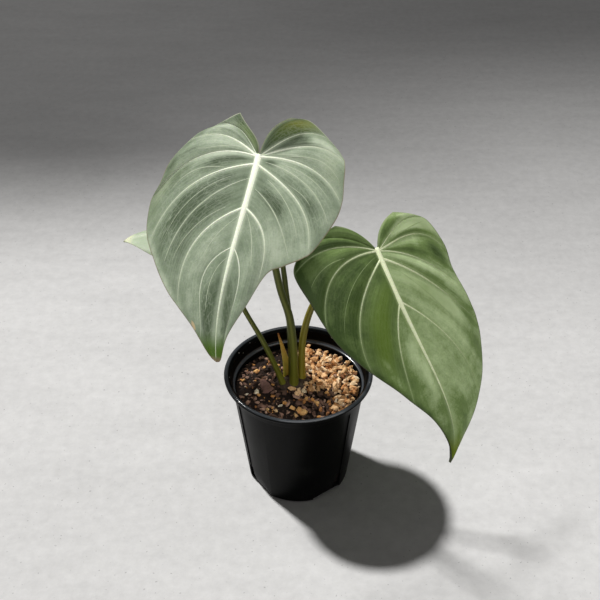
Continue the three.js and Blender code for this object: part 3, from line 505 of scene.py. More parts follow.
LEAVES = {
    "front": dict(
        stalk_end=(-24.8, 5, 264.9), heading=-15, dip=34, roll=8, length=130.2,
        droop=17.8, lobe_droop=-4, fold=(3, 5), cup=(6, 8), sweep=(-0.156, 0.011, 0.124),
        quilt=1.4, wave=2.2, waves=3.2, wave_phase=(0.6, 2.4), notch_lift=(-4, 9),
        veins=[[0.12, 0], [0.26, 0], [0.41, 0], [0.57, 0.037], [0.77, 0.261], [0.88, 0.455]],
        margin=([[-0.236, 0.165], [-0.192, 0.221], [-0.166, 0.284], [-0.124, 0.376],
                 [0.018, 0.467], [0.154, 0.492], [0.263, 0.532], [0.415, 0.505],
                 [0.561, 0.398], [0.694, 0.289], [0.768, 0.22], [0.864, 0.125], [0.965, 0.041],
                 [1, 0]],
                [[-0.194, 0.129], [-0.207, 0.213], [-0.122, 0.337], [-0.058, 0.401],
                 [-0.009, 0.424], [0.075, 0.435], [0.164, 0.445], [0.268, 0.434],
                 [0.424, 0.38], [0.473, 0.338], [0.519, 0.257], [0.563, 0.186],
                 [0.727, 0.124], [0.877, 0.056], [0.983, 0.026], [1, 0]]),
        bow=([[0, 0.072, 0.079], [0.12, 0.125, -0.054], [0.26, 0.159, -0.041],
              [0.41, 0.191, 0.003], [0.57, 0.2, -0.018], [0.77, 0.21, 0.021],
              [0.88, 0.162, 0.141], [1, 0.162, 0.051]],
             [[0, 0.089, -0.013], [0.12, 0.153, -0.081], [0.26, 0.172, -0.075],
              [0.41, 0.155, -0.02], [0.57, 0.141, -0.04], [0.77, 0.177, 0.036],
              [0.88, 0.104, 0.073], [1, 0.104, 0.026]]),
        drawn=((0.35, 1, 0.9, 1.1, 1.1, 0.4), (0.8, 1, 1.1, 1.1, 1, 0.4)),
        veinlets=(3, 4, 4, 5, 7, 4, 3),
        rib=2.05, side=0.52,
        minor=([(0.13, 0.7, 0.265, 0.345, 0.328, 0.5), (0.22, 0.7, 0.555, 0.514, 0.52, 0.7),
                (0.02, 0.9, 0.633, 0.657, 0.66, 1), (0.15, 0.8, 0.73, 0.712, 0.695, 0.6),
                (0.16, 0.8, 0.605, 0.613, 0.622, 0.5), (0.02, 0.34, 0.79, 0.815, 0.835, 0.5),
                (0.01, 0.33, 0.89, 0.9, 0.928, 0.5)],
               [(0.11, 0.93, 0.418, 0.345, 0.352, 0.6), (0.08, 0.95, 0.482, 0.489, 0.488, 0.8),
                (0.24, 0.8, 0.462, 0.46, 0.46, 0.35), (0.35, 0.65, 0.538, 0.525, 0.52, 0.4),
                (0.15, 0.8, 0.602, 0.622, 0.625, 0.6), (0.06, 0.95, 0.672, 0.683, 0.65, 0.85),
                (0.05, 0.48, 0.78, 0.812, 0.82, 0.6)]),
        # besides the blade's own mottle, painted shade and light: the shaded inner edge of the left
        # lobe, the curled right lobe's cast shadow, darker bands by the tip and lit margins that
        # face the sun
        patches=([(0.953, 0.312, 0.03, 0.3, -0.35), (0.657, 0.606, 0.025, 0.15, -0.35),
                  (0.657, 0.988, 0.03, 0.12, -0.3), (0.49, 0.18, 0.025, 0.11, -1.2),
                  (0.51, 0.32, 0.03, 0.09, -0.6), (0.47, 0.66, 0.035, 0.13, -0.7),
                  (0.615, 0.5, 0.028, 0.42, -1.0), (0.69, 0.35, 0.045, 0.35, -0.7),
                  (0.33, 0.78, 0.02, 0.11, -0.5), (0.35, 0.93, 0.03, 0.06, -0.7),
                  (0.26, 0.92, 0.04, 0.06, -0.5), (0.04, 0.45, 0.05, 0.45, -2.2),
                  (0.1, 0.3, 0.045, 0.2, -1.3), (0.43, 0.45, 0.05, 0.4, 0.5),
                  (0.3, 0.4, 0.04, 0.4, 0.3), (0.2, 0.82, 0.06, 0.14, 0.35),
                  (0.1, 0.82, 0.06, 0.13, 0.6), (0.46, 0.87, 0.05, 0.1, 0.5),
                  (0.65, 0.98, 0.1, 0.05, 0.7), (0.93, 0.5, 0.035, 0.6, -0.7),
                  (0.83, 0.5, 0.04, 0.5, 0.2)],
                 [(0.988, 0.238, 0.02, 0.4, -0.3), (0.843, 0.419, 0.04, 0.2, 0.2),
                  (0.647, 0.875, 0.04, 0.15, -0.3), (0.2, 0.42, 0.05, 0.14, -1.5),
                  (0.155, 0.58, 0.025, 0.1, -0.9), (0.47, 0.13, 0.03, 0.06, -0.9),
                  (0.665, 0.33, 0.032, 0.2, -1.2), (0.62, 0.1, 0.03, 0.06, -0.5),
                  (0.525, 0.6, 0.03, 0.4, -0.5), (0.44, 0.6, 0.02, 0.3, -0.4),
                  (0.08, 0.5, 0.04, 0.4, -1.1), (0.2, 0.76, 0.06, 0.14, 0.7),
                  (0.34, 0.3, 0.04, 0.15, 0.25), (0.72, 0.62, 0.05, 0.36, 0.4),
                  (0.34, 0.8, 0.05, 0.15, 0.3), (0.66, 0.88, 0.06, 0.1, 0.5),
                  (0.93, 0.5, 0.035, 0.6, -0.7), (0.5, 0.5, 0.3, 2, 0.15)]),
        scars=([(0.845, 0.965, 0.012, 0.03, 1)], []),
        # painted light coming through the curled top of the right lobe
        glows=([], [(0.07, 0.8, 0.028, 0.2, 1)]),
        # partly painted light: yellow-green where light comes through the right lobe, deeper green
        # along the shaded inner edge of the left lobe, as well as yellower margins
        tints=([(0.06, 0.42, 0.07, 0.4, 1.0), (0.46, 0.9, 0.12, 0.15, 0.5),
                (0.47, 0.64, 0.05, 0.15, 0.3)],
               [(0.08, 0.6, 0.05, 0.35, 1), (0.34, 0.82, 0.08, 0.18, 0.35)])),
    "right": dict(
        stalk_end=(52.5, 8, 192.1), heading=32.3, dip=42.8, roll=-8, length=161.8,
        droop=36.6, lobe_droop=12, fold=(6, 4), cup=(18, 4), sweep=(0.152, 0.595, -0.604),
        quilt=2.4, wave=2.6, waves=2.7, wave_phase=(2.1, 0.4), notch_lift=(1, 2),
        veins=[[0.12, 0], [0.25, 0], [0.39, 0], [0.56, 0.033], [0.76, 0.224]],
        margin=([[-0.157, 0.131], [-0.149, 0.222], [-0.114, 0.305], [-0.034, 0.375],
                 [0.118, 0.364], [0.287, 0.335], [0.417, 0.281], [0.502, 0.238],
                 [0.572, 0.199], [0.648, 0.158], [0.769, 0.082], [0.905, 0.022], [1, 0]],
                [[-0.135, 0.164], [-0.098, 0.263], [-0.05, 0.342], [0.07, 0.392],
                 [0.172, 0.374], [0.266, 0.364], [0.338, 0.361], [0.417, 0.371],
                 [0.498, 0.36], [0.638, 0.281], [0.751, 0.18], [0.846, 0.1], [0.911, 0.061],
                 [1, 0]]),
        bow=([[0, 0.102, -0.022], [0.12, 0.113, -0.031], [0.25, 0.159, -0.043],
              [0.39, 0.242, 0.016], [0.56, 0.144, -0.01], [0.76, 0.063, 0.021],
              [1, -0.008, 0.001]],
             [[0, 0.14, 0.02], [0.12, 0.118, -0.073], [0.25, 0.184, -0.077],
              [0.39, 0.107, 0.006], [0.56, 0.073, 0.012], [0.76, 0.138, -0.007],
              [1, 0.138, -0.003]]),
        drawn=((0, 0.6, 0.9, 0.9, 0.8), (0.5, 0.9, 0.6, 1.2, 0.8)),
        veinlets=(3, 4, 4, 5, 6, 6),
        rib=1.45, side=0.4,
        minor=([(0.36, 0.9, 0.348, 0.32, 0.315, 0.5), (0.05, 0.8, 0.47, 0.478, 0.472, 0.12)],
               [(0.18, 0.8, 0.525, 0.535, 0.503, 0.2), (0.02, 0.75, 0.572, 0.655, 0.672, 0.25),
                (0.35, 0.85, 0.205, 0.195, 0.17, 0.4)]),
        # besides the blade's own mottle, painted shade and light: the left half darker where the
        # front blade shades it, light and dark bands on the lit and shaded sides of the quilting,
        # and a shaded band along the margin
        patches=([(0.45, 0.5, 2, 2, -0.35), (0.44, 0.5, 0.035, 0.4, -0.4),
                  (0.52, 0.5, 0.03, 0.4, -0.4), (0.22, 0.55, 0.03, 0.3, -0.7),
                  (0.36, 0.78, 0.03, 0.11, -0.7), (0.33, 0.96, 0.1, 0.05, -0.7),
                  (0.12, 0.5, 0.08, 0.4, 0.3), (0.66, 0.45, 0.04, 0.35, 0.3),
                  (0.5, 0.97, 0.5, 0.04, -0.4), (0.82, 0.3, 0.06, 0.35, 1.0),
                  (0.85, 0.8, 0.06, 0.2, 0.4), (0.66, 0.77, 0.02, 0.04, 0.6),
                  (0.17, 0.62, 0.03, 0.2, -0.3), (0.28, 0.35, 0.03, 0.3, 0.35),
                  (0.7, 0.88, 0.08, 0.12, 0.5)],
                 [(0.18, 0.706, 0.04, 0.15, 0.3), (0.45, 0.5, 2, 2, 0.25),
                  (0.16, 0.65, 0.045, 0.25, 1.8), (0.1, 0.87, 0.05, 0.1, 1.6),
                  (0.15, 0.45, 0.03, 0.2, 0.6), (0.04, 0.4, 0.04, 0.5, -0.6),
                  (0.28, 0.3, 0.025, 0.2, 0.25), (0.225, 0.55, 0.022, 0.3, -0.8),
                  (0.35, 0.35, 0.03, 0.3, -0.6), (0.31, 0.75, 0.035, 0.15, -1.0),
                  (0.45, 0.5, 0.05, 0.45, 0.35), (0.52, 0.5, 0.03, 0.4, -0.25),
                  (0.63, 0.5, 0.04, 0.42, 0.8), (0.67, 0.5, 0.015, 0.4, -0.25),
                  (0.71, 0.5, 0.03, 0.4, 0.2), (0.83, 0.3, 0.04, 0.3, 0.2),
                  (0.91, 0.6, 0.05, 0.3, -0.4), (0.63, 0.85, 0.08, 0.15, -0.6)]),
        scars=NONE, glows=NONE,
        # partly painted light: the yellow-green band on the left half stands for light coming
        # through
        tints=([(0.66, 0.48, 0.06, 0.45, 1.0), (0.5, 0.5, 0.1, 0.5, 0.2)],
               [(0.63, 0.35, 0.06, 0.3, 0.5), (0.95, 0.3, 0.03, 0.3, 0.6),
                (0.22, 0.8, 0.05, 0.2, 0.4)])),
    "back": dict(
        stalk_end=(-55.4, 28, 195), heading=-96, dip=-2, roll=4, length=66,
        droop=26, lobe_droop=14, fold=(8, 8), cup=(14, 14), sweep=(0, 0, 0),
        quilt=0.7, wave=1.2, waves=2.4, wave_phase=(0.3, 1.7), notch_lift=(1, 1),
        veins=[[0.24, 0], [0.4, 0], [0.58, 0], [0.755, 0.25]],
        margin=(SMALL_MARGIN, SMALL_MARGIN), bow=(SMALL_BOW, SMALL_BOW),
        drawn=((1, 1, 1, 1), (1, 1, 1, 1)), veinlets=(3, 3, 4, 5, 5),
        rib=3.0, side=0.62, minor=(SMALL_MINOR, SMALL_MINOR),
        patches=([(0.5, 0.5, 0.1, 0.3, -0.3)], [(0.5, 0.5, 0.1, 0.3, -0.3)]),
        scars=NONE, glows=NONE,
        tints=([(0.5, 0.9, 0.3, 0.2, 0.3)], [(0.5, 0.9, 0.3, 0.2, 0.3)])),
}

for leaf in LEAVES.values():
    leaf["edges"] = np.array([0.0, *(end for end, _ in leaf["veins"]), 1.0])
    leaf["roots"] = np.array([(0, 0), *leaf["veins"], (1, 1)]).T


def margin_place(leaf, half, station):
    """Where a station lies on the margin, in blade lengths."""
    knots = np.array(leaf["margin"][half], dtype=float)
    return spline(np.vstack([knots[0], knots, knots[-1]]), station)


def flat_place(leaf, half, station, reach):
    """Ahead and outward distance on the flat blade, in blade lengths."""
    end = margin_place(leaf, half, station)
    root = np.interp(station, *leaf["roots"])
    ahead, out = end[..., 0] - root, end[..., 1]
    at, bows, skews = np.array(leaf["bow"][half], dtype=float).T
    bow = np.interp(station, at, bows) + np.interp(station, at, skews) * (1 - 2 * reach)
    bow = bow * 4 * reach * (1 - reach)
    return root + ahead * reach - out * bow, out * reach + ahead * bow


def leaf_axes(leaf):
    """The blade's own directions: ahead, right, and up from its face."""
    heading, dip, roll = (math.radians(leaf[key]) for key in ("heading", "dip", "roll"))
    ahead = np.array([math.sin(heading) * math.cos(dip), -math.cos(heading) * math.cos(dip),
                      -math.sin(dip)])
    level = np.array([math.cos(heading), math.sin(heading), 0])
    right = level * math.cos(roll) + np.cross(ahead, level) * math.sin(roll)
    return ahead, right, np.cross(ahead, right)


def between_veins(leaf, station):
    """Which gap between neighbouring veins a station is in, and how far across it."""
    edges = leaf["edges"]
    gap = np.clip(np.searchsorted(edges, station, side="left"), 1, len(edges) - 1)
    return gap - 1, (station - edges[gap - 1]) / (edges[gap] - edges[gap - 1])


def line_number(leaf, station):
    """Counts veinlets round the margin: whole numbers lie on veins and veinlets."""
    gap, share = between_veins(leaf, station)
    counts = np.array(leaf["veinlets"])
    return np.concatenate([[0], np.cumsum(counts)])[gap] + share * counts[gap]


def on_blade(leaf, half, flat, station, reach, height):
    """Points at a height over the blade's upper skin, in millimetres, as in the solids."""
    length, hand = leaf["length"], (-1, 1)[half]
    x, y = flat
    ahead_axis, right_axis, up_axis = leaf_axes(leaf)
    s, w = x * length, y * length
    bend = np.where(s >= 0, leaf["droop"] / length, leaf["lobe_droop"] / (LOBE_LENGTH * length))
    turn = np.radians(bend * s)
    turn = np.where(np.abs(turn) < 1e-9, 1e-9, turn)
    lean = np.radians(leaf["fold"][half] + leaf["cup"][half] * y / CUP_WIDTH)
    near, more, most = leaf["sweep"]
    sweep = length * np.sign(s) * x * x * (near + more * np.abs(x) + most * x * x)

    _, share = between_veins(leaf, station)
    across = 4 * reach * (1 - reach)
    quilt = leaf["quilt"] * np.sin(np.pi * share) * across
    ripple = np.sin(2 * np.pi * leaf["waves"] * station + leaf["wave_phase"][half])
    wave = leaf["wave"] * reach**3 * ripple * np.sqrt(np.maximum(0, 1 - station**4))
    near_notch = np.maximum(0, 1 - station / NOTCH_SPAN) ** 2
    lift = leaf["notch_lift"][half] * near_notch * np.sin(0.75 * np.pi * reach)
    pillow = leaf["quilt"] * 0.1 * (np.abs(np.sin(np.pi * line_number(leaf, station))) - 0.6)
    rise = quilt + wave + lift + pillow * across * (1 - near_notch) + height

    def column(values):
        return np.asarray(values)[..., None]

    normal = up_axis * column(np.cos(turn)) + ahead_axis * column(np.sin(turn))
    face = normal * column(np.cos(lean)) + right_axis * column(hand * np.sin(lean))
    return (np.array(leaf["stalk_end"])
            + ahead_axis * column(s * np.sin(turn) / turn)
            - up_axis * column(s * (1 - np.cos(turn)) / turn)
            + right_axis * column(hand * w * np.cos(lean) + sweep)
            - normal * column(w * np.sin(lean)) + face * column(rise))


def line_spacing(leaf, half, station, reach):
    """Millimetres across the vein lines for one unit of station."""
    low, high = np.clip(station - STEP, 0, 1), np.clip(station + STEP, 0, 1)
    a, b = flat_place(leaf, half, low, reach), flat_place(leaf, half, high, reach)
    inner, outer = np.clip(reach - STEP, 0, 1), np.clip(reach + STEP, 0, 1)
    c, d = flat_place(leaf, half, station, inner), flat_place(leaf, half, station, outer)
    along = np.hypot(d[0] - c[0], d[1] - c[1]) + 1e-9
    cross = (b[0] - a[0]) * (d[1] - c[1]) - (b[1] - a[1]) * (d[0] - c[0])
    return np.abs(cross) / along / (high - low) * leaf["length"]


def patches(table, station, reach):
    """The sum of soft patches on the blade."""
    total = np.zeros(station.shape)
    for middle, out, wide, long, depth in table:
        total += depth * np.exp(-(((station - middle) / wide) ** 2) - ((reach - out) / long) ** 2)
    return total


def minor_station(vein, reach):
    """The station of a minor vein, which drifts a little on its way out."""
    start, end, first, middle, last, _ = vein
    t = np.clip((reach - start) / (end - start), 0, 1)
    return first * 2 * (t - 0.5) * (t - 1) - middle * 4 * t * (t - 1) + last * 2 * t * (t - 0.5)


def minor_glow(leaf, half, station, reach, spacing):
    """1 on a strong minor vein, fading to 0 beside it and towards its ends."""
    glow = np.zeros(station.shape)
    for vein in leaf["minor"][half]:
        start, end, strength = vein[0], vein[1], vein[-1]
        off = np.abs(station - minor_station(vein, reach)) * spacing
        ends = np.clip((reach - start) / 0.06, 0, 1) * np.clip((end - reach) / 0.2, 0, 1)
        glow = np.maximum(glow, strength * ends * np.clip(1 - off / 1.5, 0, 1))
    return glow


ROWS_PER_VEINLET = 6
ACROSS = 51             # places from the midrib to the margin, closer together near the midrib


def blade_rows(leaf):
    """Stations of the mesh, closer together beside the veins."""
    stations = [0.0]
    for gap, spaces in enumerate(leaf["veinlets"]):
        steps = ROWS_PER_VEINLET * spaces
        share = 0.5 - 0.5 * np.cos(np.pi * np.arange(1, steps + 1) / steps)
        low, high = leaf["edges"][gap:gap + 2]
        stations.extend(low + share * (high - low))
    return np.array(stations)


def blade_skins(leaf, half, station, reach):
    """One half's upper and lower skin, pillowed above and ribbed below, and its measures."""
    length, size = leaf["length"], leaf["length"] / USUAL_LENGTH
    flat = flat_place(leaf, half, station, reach)
    spacing = line_spacing(leaf, half, station, reach)
    drawn = [(end, share) for (end, _), share in zip(leaf["veins"], leaf["drawn"][half]) if share]
    vein_mm = np.min([np.abs(station - end) / share for end, share in drawn], axis=0) * spacing
    rib_mm = np.where(flat[0] > 0, flat[1], np.hypot(*flat)) * length
    ends = margin_place(leaf, half, station)
    chord = np.hypot(ends[..., 0] - np.interp(station, *leaf["roots"]), ends[..., 1])
    edge_mm = np.minimum((1 - reach) * chord * length, station * spacing + 0.02)

    side_ridge = 0.75 * (1 - reach) * np.cos(np.minimum(vein_mm / 1.3, 1) * np.pi / 2)
    rib_ridge = np.cos(np.minimum(rib_mm / (2.4 * size), 1) * np.pi / 2)
    thin = 0.55 + 0.45 * np.minimum(edge_mm / 1.2, 1)
    deep = RIB_DEPTH * size * np.maximum(side_ridge, rib_ridge)
    top = on_blade(leaf, half, flat, station, reach, -0.2 * (1 - thin) / 0.45)
    low = on_blade(leaf, half, flat, station, reach, -BLADE_THICKNESS * thin - deep)

    per_line = np.diff(leaf["edges"]) / np.array(leaf["veinlets"])
    measures = {"line": line_number(leaf, station), "reach": reach,
                "pitch": spacing * per_line[between_veins(leaf, station)[0]],
                "vein_mm": vein_mm, "rib_mm": rib_mm, "edge_mm": edge_mm, "ahead": flat[0],
                "minor": minor_glow(leaf, half, station, reach, spacing)}
    for word, table in (("tone", "patches"), ("tint", "tints"), ("scar", "scars"),
                        ("glow", "glows")):
        measures[word] = patches(leaf[table][half], station, reach)
    return top, low, measures


def blade(name, material):
    """One closed thin blade, with both halves in one."""
    leaf = LEAVES[name]
    stations = blade_rows(leaf)
    near_margin = [0.985, 0.995, 1.0]
    reaches = np.concatenate([np.linspace(0, 1, ACROSS)[:-1] ** 1.3, near_margin])
    station, reach = np.meshgrid(stations, reaches, indexing="ij")
    rows, columns = station.shape
    roots = np.interp(stations, *leaf["roots"])

    tops, lows, numbers, faces = [], [], [], []
    index = np.zeros((2, rows, columns), dtype=int)
    for half in (0, 1):
        top, low, measures = blade_skins(leaf, half, station, reach)
        table = np.stack(list(measures.values()), axis=-1)
        # the halves share the stalk's end, the midrib and the tip
        for i in range(rows):
            for j in range(columns):
                if j == 0 and roots[i] <= 0 and (i > 0 or half == 1):
                    index[half, i, j] = index[0, 0, 0]
                elif (j == 0 and half == 1) or (i == rows - 1 and j > 0):
                    index[half, i, j] = index[0, i, 0]
                else:
                    index[half, i, j] = len(tops)
                    tops.append(top[i, j])
                    lows.append(low[i, j])
                    numbers.append(table[i, j])
        for i in range(rows - 1):
            for j in range(columns - 1):
                ring = [index[half, i, j], index[half, i + 1, j], index[half, i + 1, j + 1],
                        index[half, i, j + 1]]
                if half == 0:
                    ring.reverse()
                ring = [v for n, v in enumerate(ring) if v != ring[n - 1]]
                if len(ring) > 2:
                    faces.append(ring)

    count = len(tops)
    both_sides = np.vstack([numbers, numbers])
    kept = {word: both_sides[:, n] for n, word in enumerate(measures)}
    kept["upper"] = np.concatenate([np.ones(count), np.zeros(count)])
    add_piece(f"leaf_{name}", np.vstack([tops, lows]), closed_sheet(faces, count), material,
              [f"blade_{name}"], kept)


# A raised vein's section: across in its half width, and up in its height
CORD_SHAPE = np.array([[-1.3, -0.5], [-1.05, 0.08], [-0.8, 0.45], [-0.45, 0.82], [0, 1],
                       [0.45, 0.82], [0.8, 0.45], [1.05, 0.08], [1.3, -0.5]])
RIB_ENDS = (-0.014, 0.985)      # of the raised midrib, in blade lengths from the stalk


def vein_net(name, material):
    """The raised pale net: a midrib with knots, side veins that thin out, and minor veins."""
    leaf = LEAVES[name]
    length, size = leaf["length"], leaf["length"] / USUAL_LENGTH
    across, up = CORD_SHAPE.T
    points, faces, fade = [], [], []

    def keep(rows, fades):
        count, sides, _ = rows.shape
        faces.extend(closed_rod(count, sides, len(points)))
        points.extend(rows.reshape(-1, 3))
        fade.extend(np.repeat(fades, sides))

    def lay(half, station_at, reaches, half_width, high, fades):
        """One vein along its course of stations; its half width and height are in mm."""
        courses = [(station_at(reaches + step), reaches + step) for step in (-STEP, 0, STEP)]
        before, (x, y), after = (flat_place(leaf, half, *course) for course in courses)
        run = np.hypot(after[0] - before[0], after[1] - before[1])
        side_x, side_y = (after[1] - before[1]) / run, -(after[0] - before[0]) / run
        station = courses[1][0]
        spacing = np.maximum(line_spacing(leaf, half, station, reaches), 0.001)
        out = half_width[:, None] * across
        flat = (x[:, None] + side_x[:, None] * out / length,
                y[:, None] + side_y[:, None] * out / length)
        shift = np.clip(-out / spacing[:, None], -0.03, 0.03)
        rows = on_blade(leaf, half, flat, station[:, None] + shift,
                        np.repeat(reaches[:, None], len(across), axis=1), high[:, None] * up)
        keep(rows if half == 0 else rows[:, ::-1], fades)

    knots = leaf["roots"][1][1:-1]
    x = np.linspace(*RIB_ENDS, 110)
    left = np.maximum(0, 1 - np.maximum(x, 0))
    swell = sum(0.2 * np.exp(-(((x - knot) / 0.02) ** 2)) for knot in knots[knots > 0.1])
    half_width = size * (0.2 + leaf["rib"] * left) * (1 + swell)
    high = size * (0.12 + 0.95 * left**0.8) * (1 + 0.5 * swell)
    y = half_width[:, None] * across / length
    flat = (np.repeat(x[:, None], len(across), axis=1), np.abs(y))
    halves = [on_blade(leaf, half, flat, np.full(y.shape, 0.5), np.zeros(y.shape),
                       high[:, None] * up) for half in (0, 1)]
    keep(np.where((y >= 0)[..., None], halves[1], halves[0]), 0.26 + 0.75 * np.maximum(0, x) ** 2)

    for half in (0, 1):
        for (end, _), share in zip(leaf["veins"], leaf["drawn"][half]):
            if not share:
                continue
            reaches = np.linspace(0.002, 0.965, 70) ** 1.15
            inner = 1 - reaches
            flare = 1 + 0.35 * np.exp(-reaches / 0.04)
            lay(half, lambda r, end=end: np.full(np.shape(r), end), reaches,
                size * share * (0.13 + leaf["side"] * inner**0.8) * flare,
                size * (0.05 + 0.5 * share * inner), 0.4 + 0.65 * reaches**1.1)
        for vein in leaf["minor"][half]:
            start, end, strength = vein[0], vein[1], vein[-1]
            reaches = np.linspace(start, end, 40)
            ends = np.sin(np.pi * np.linspace(0.06, 0.98, 40)) ** 0.5
            lay(half, lambda r, vein=vein: minor_station(vein, r), reaches,
                size * (0.1 + 0.17 * strength) * ends, 0.18 * strength * ends,
                1.05 - 0.35 * strength + 0.2 * reaches)
    add_piece(f"net_{name}", points, faces, material, [f"veins_{name}"], {"fade": fade})


# The blades' greens are partly painted light: the front blade is paler and greyer for the sun's
# glancing sheen on it, and the small back blade paler still for the sun full on it.
front_blade = blade_finish(
    "velvet_pale", dark=(0.056, 0.080, 0.044), middle=(0.180, 0.226, 0.155),
    light=(0.390, 0.445, 0.338), yellow=(0.078, 0.118, 0.030), halo=(0.47, 0.53, 0.41),
    tip=(0.046, 0.094, 0.004), under=(0.14, 0.20, 0.10), rim=(0.21, 0.155, 0.10), rim_width=0.8,
    threads=0.13, seed=0.0)
green_blade = blade_finish(
    "velvet_green", dark=(0.036, 0.064, 0.014), middle=(0.120, 0.181, 0.056),
    light=(0.385, 0.480, 0.262), yellow=(0.082, 0.136, 0.013), halo=(0.32, 0.40, 0.20),
    tip=(0.096, 0.132, 0.001), under=(0.10, 0.17, 0.05), rim=(0.050, 0.060, 0.030), rim_width=1.7,
    threads=0.05, seed=9.0)
small_blade = blade_finish(
    "velvet_small", dark=(0.21, 0.27, 0.17), middle=(0.36, 0.43, 0.31),
    light=(0.55, 0.60, 0.49), yellow=(0.36, 0.42, 0.23), halo=(0.60, 0.65, 0.52),
    tip=(0.62, 0.64, 0.44), under=(0.14, 0.20, 0.08), rim=(0.34, 0.36, 0.26), rim_width=0.8,
    threads=0.1, seed=4.0)
cream_veins = vein_finish("cream_veins", pale=(0.87, 0.92, 0.76), thin=(0.36, 0.42, 0.29))
green_veins = vein_finish("green_veins", pale=(0.80, 0.86, 0.58), thin=(0.19, 0.26, 0.10))

blade("front", front_blade)
blade("right", green_blade)
blade("back", small_blade)
vein_net("front", cream_veins)
vein_net("right", green_veins)
vein_net("back", cream_veins)

# ---------------------------------------------------------------- stalks, new leaf, sheath

STALKS = {
    "front": dict(
        route=[[-3.2, -1.6, 80], [-3.2, -1.4, 112], [-5.9, 0.4, 142], [-12.3, 3, 165.4],
               [-17.2, 6, 195], [-20.7, 8.6, 228], [-21.9, 9.7, 252]], foot=3.1, top=1.8),
    "right": dict(
        route=[[2.4, 4.2, 80], [2.9, 6.3, 116], [9.0, 9, 143.9], [21.4, 12, 165],
               [37, 13.6, 178.5]], foot=2.7, top=1.8),
    "back": dict(
        route=[[-9.6, -0.8, 80], [-17.7, 0.8, 103], [-25.9, 3, 122.5], [-36.7, 9, 141.5],
               [-46.5, 16, 162], [-53.6, 22, 179]], foot=2.15, top=1.3),
    "young": dict(
        route=[[-4.4, 5.4, 80], [-5.2, 6, 112], [-6.6, 6.9, 140], [-8.6, 8, 163],
               [-10.6, 9.6, 183], [-12.5, 11, 205]], foot=2.4, top=1.7),
}


def tube(route, radius_at, section, rings, end_normal=None):
    """Points of a closed stem on a route; section gives each side's share of the radius."""
    u = np.linspace(0, 1, rings)
    centres = smooth_route(route, u)
    tangents = np.gradient(centres, axis=0)
    tangents /= np.linalg.norm(tangents, axis=1)[:, None]
    if end_normal is not None:
        tangents[-1] = end_normal
    side = np.array([1.0, 0, 0])
    points, along, around = [], [], []
    sides = len(section)
    for n in range(rings):
        side = side - tangents[n] * (side @ tangents[n])
        side /= np.linalg.norm(side)
        other = np.cross(tangents[n], side)
        for k, angle in enumerate(angles(sides)):
            radius = radius_at(u[n]) * section[k]
            out = side * math.cos(angle) + other * math.sin(angle)
            points.append(centres[n] + radius * out)
            along.append(u[n])
            around.append(abs(2 * k / sides - 1))
    return points, closed_rod(rings, sides), {"along": along, "around": around}


def stalk(name, material):
    """A stalk with a shallow channel, a sheathed foot and a slight swelling at the blade."""
    data = STALKS[name]
    route, end_normal = list(data["route"]), None
    if name in LEAVES:
        leaf = LEAVES[name]
        end_normal = leaf_axes(leaf)[2]
        straight, seat = 9, BLADE_THICKNESS + 0.35
        for depth in (straight, seat):
            route.append(list(np.array(leaf["stalk_end"]) - end_normal * depth))

    def radius_at(u):
        body = data["top"] + (data["foot"] - data["top"]) * (1 - u) ** 1.3
        swelling = 0.35 * math.exp(-(((u - 0.985) / 0.02) ** 2)) if name in LEAVES else 0
        sheath = 0.35 * math.exp(-((u / 0.05) ** 2))
        return body * (0.97 + 0.02 * math.sin(31 * u)) + swelling + sheath

    sides, rings = 22, 84
    around = 2 * math.pi * np.arange(sides) / sides
    channel = np.exp(-(((around - 1.4) / 0.35) ** 2))
    section = 1 - 0.11 * channel + 0.03 * np.cos(2 * around + 0.6)
    points, faces, measures = tube(route, radius_at, section, rings, end_normal)
    add_piece(f"petiole_{name}", points, faces, material, [f"stalk_{name}"], measures)


olive_stalk = stalk_finish("olive_stalk", foot=(0.19, 0.19, 0.02), middle=(0.075, 0.085, 0.008),
                           top=(0.095, 0.12, 0.03), pale=(0.24, 0.25, 0.045))
yellow_stalk = stalk_finish("yellow_stalk", foot=(0.32, 0.26, 0.02), middle=(0.21, 0.18, 0.016),
                            top=(0.17, 0.17, 0.02), pale=(0.48, 0.42, 0.09))
stalk("front", olive_stalk)
stalk("back", olive_stalk)
stalk("young", olive_stalk)
stalk("right", yellow_stalk)


def new_leaf():
    """The young leaf, rolled up: one sheet wound round itself, with its free edge outside."""
    x, y, z = STALKS["young"]["route"][-1]
    route = [[x, y, z + 0.3], [x - 0.7, y + 0.7, z + 12], [x - 1.8, y + 1.2, z + 28],
             [x - 2.6, y + 1.2, z + 47]]
    sides, rings = 36, 60
    wound = 0.9 + 0.16 * (np.arange(sides) / sides)

    def radius_at(u):
        return 0.45 + 2.75 * max(0, math.sin(math.pi * (0.18 + 0.8 * u))) ** 1.2

    points, faces, measures = tube(route, radius_at, wound, rings)
    add_piece("new_leaf", points, faces, rolled_finish(), ["rolled_leaf"],
              measures, crease=50)


def dry_sheath():
    """The papery sheath of an older leaf: a pointed sheet, folded lengthways and open in front."""
    route = [[-8.0, 7.2, 80.6], [-8.6, 8.2, 94], [-10.7, 10.2, 106], [-14.3, 13, 118.7]]
    paper = 0.35
    u, v = np.linspace(0, 1, 48), np.linspace(-1, 1, 15)
    outer, inner, along, around = [], [], [], []
    for centre, share in zip(smooth_route(route, u), u):
        radius = 0.3 + 2.9 * (1 - share) ** 0.75
        for across in v:
            angle = 2.35 * across * (1 - 0.35 * share) - 0.4
            frill = 1 + 0.06 * math.sin(9 * share + 5 * across) + 0.05 * math.sin(23 * across)
            direction = np.array([math.sin(angle), 0.72 * math.cos(angle), 0])
            outer.append(centre + direction * radius * frill)
            inner.append(centre + direction * max(radius * frill - paper, 0.05))
            along.append(share)
            around.append(across)
    faces = [face[::-1] for face in grid_faces(len(u), len(v))]
    measures = {"along": along * 2, "around": around * 2}
    add_piece("sheath", outer + inner, closed_sheet(faces, len(outer)), scale_finish(),
              ["dry_scale"], measures)


new_leaf()
dry_sheath()

# ---------------------------------------------------------------- pot

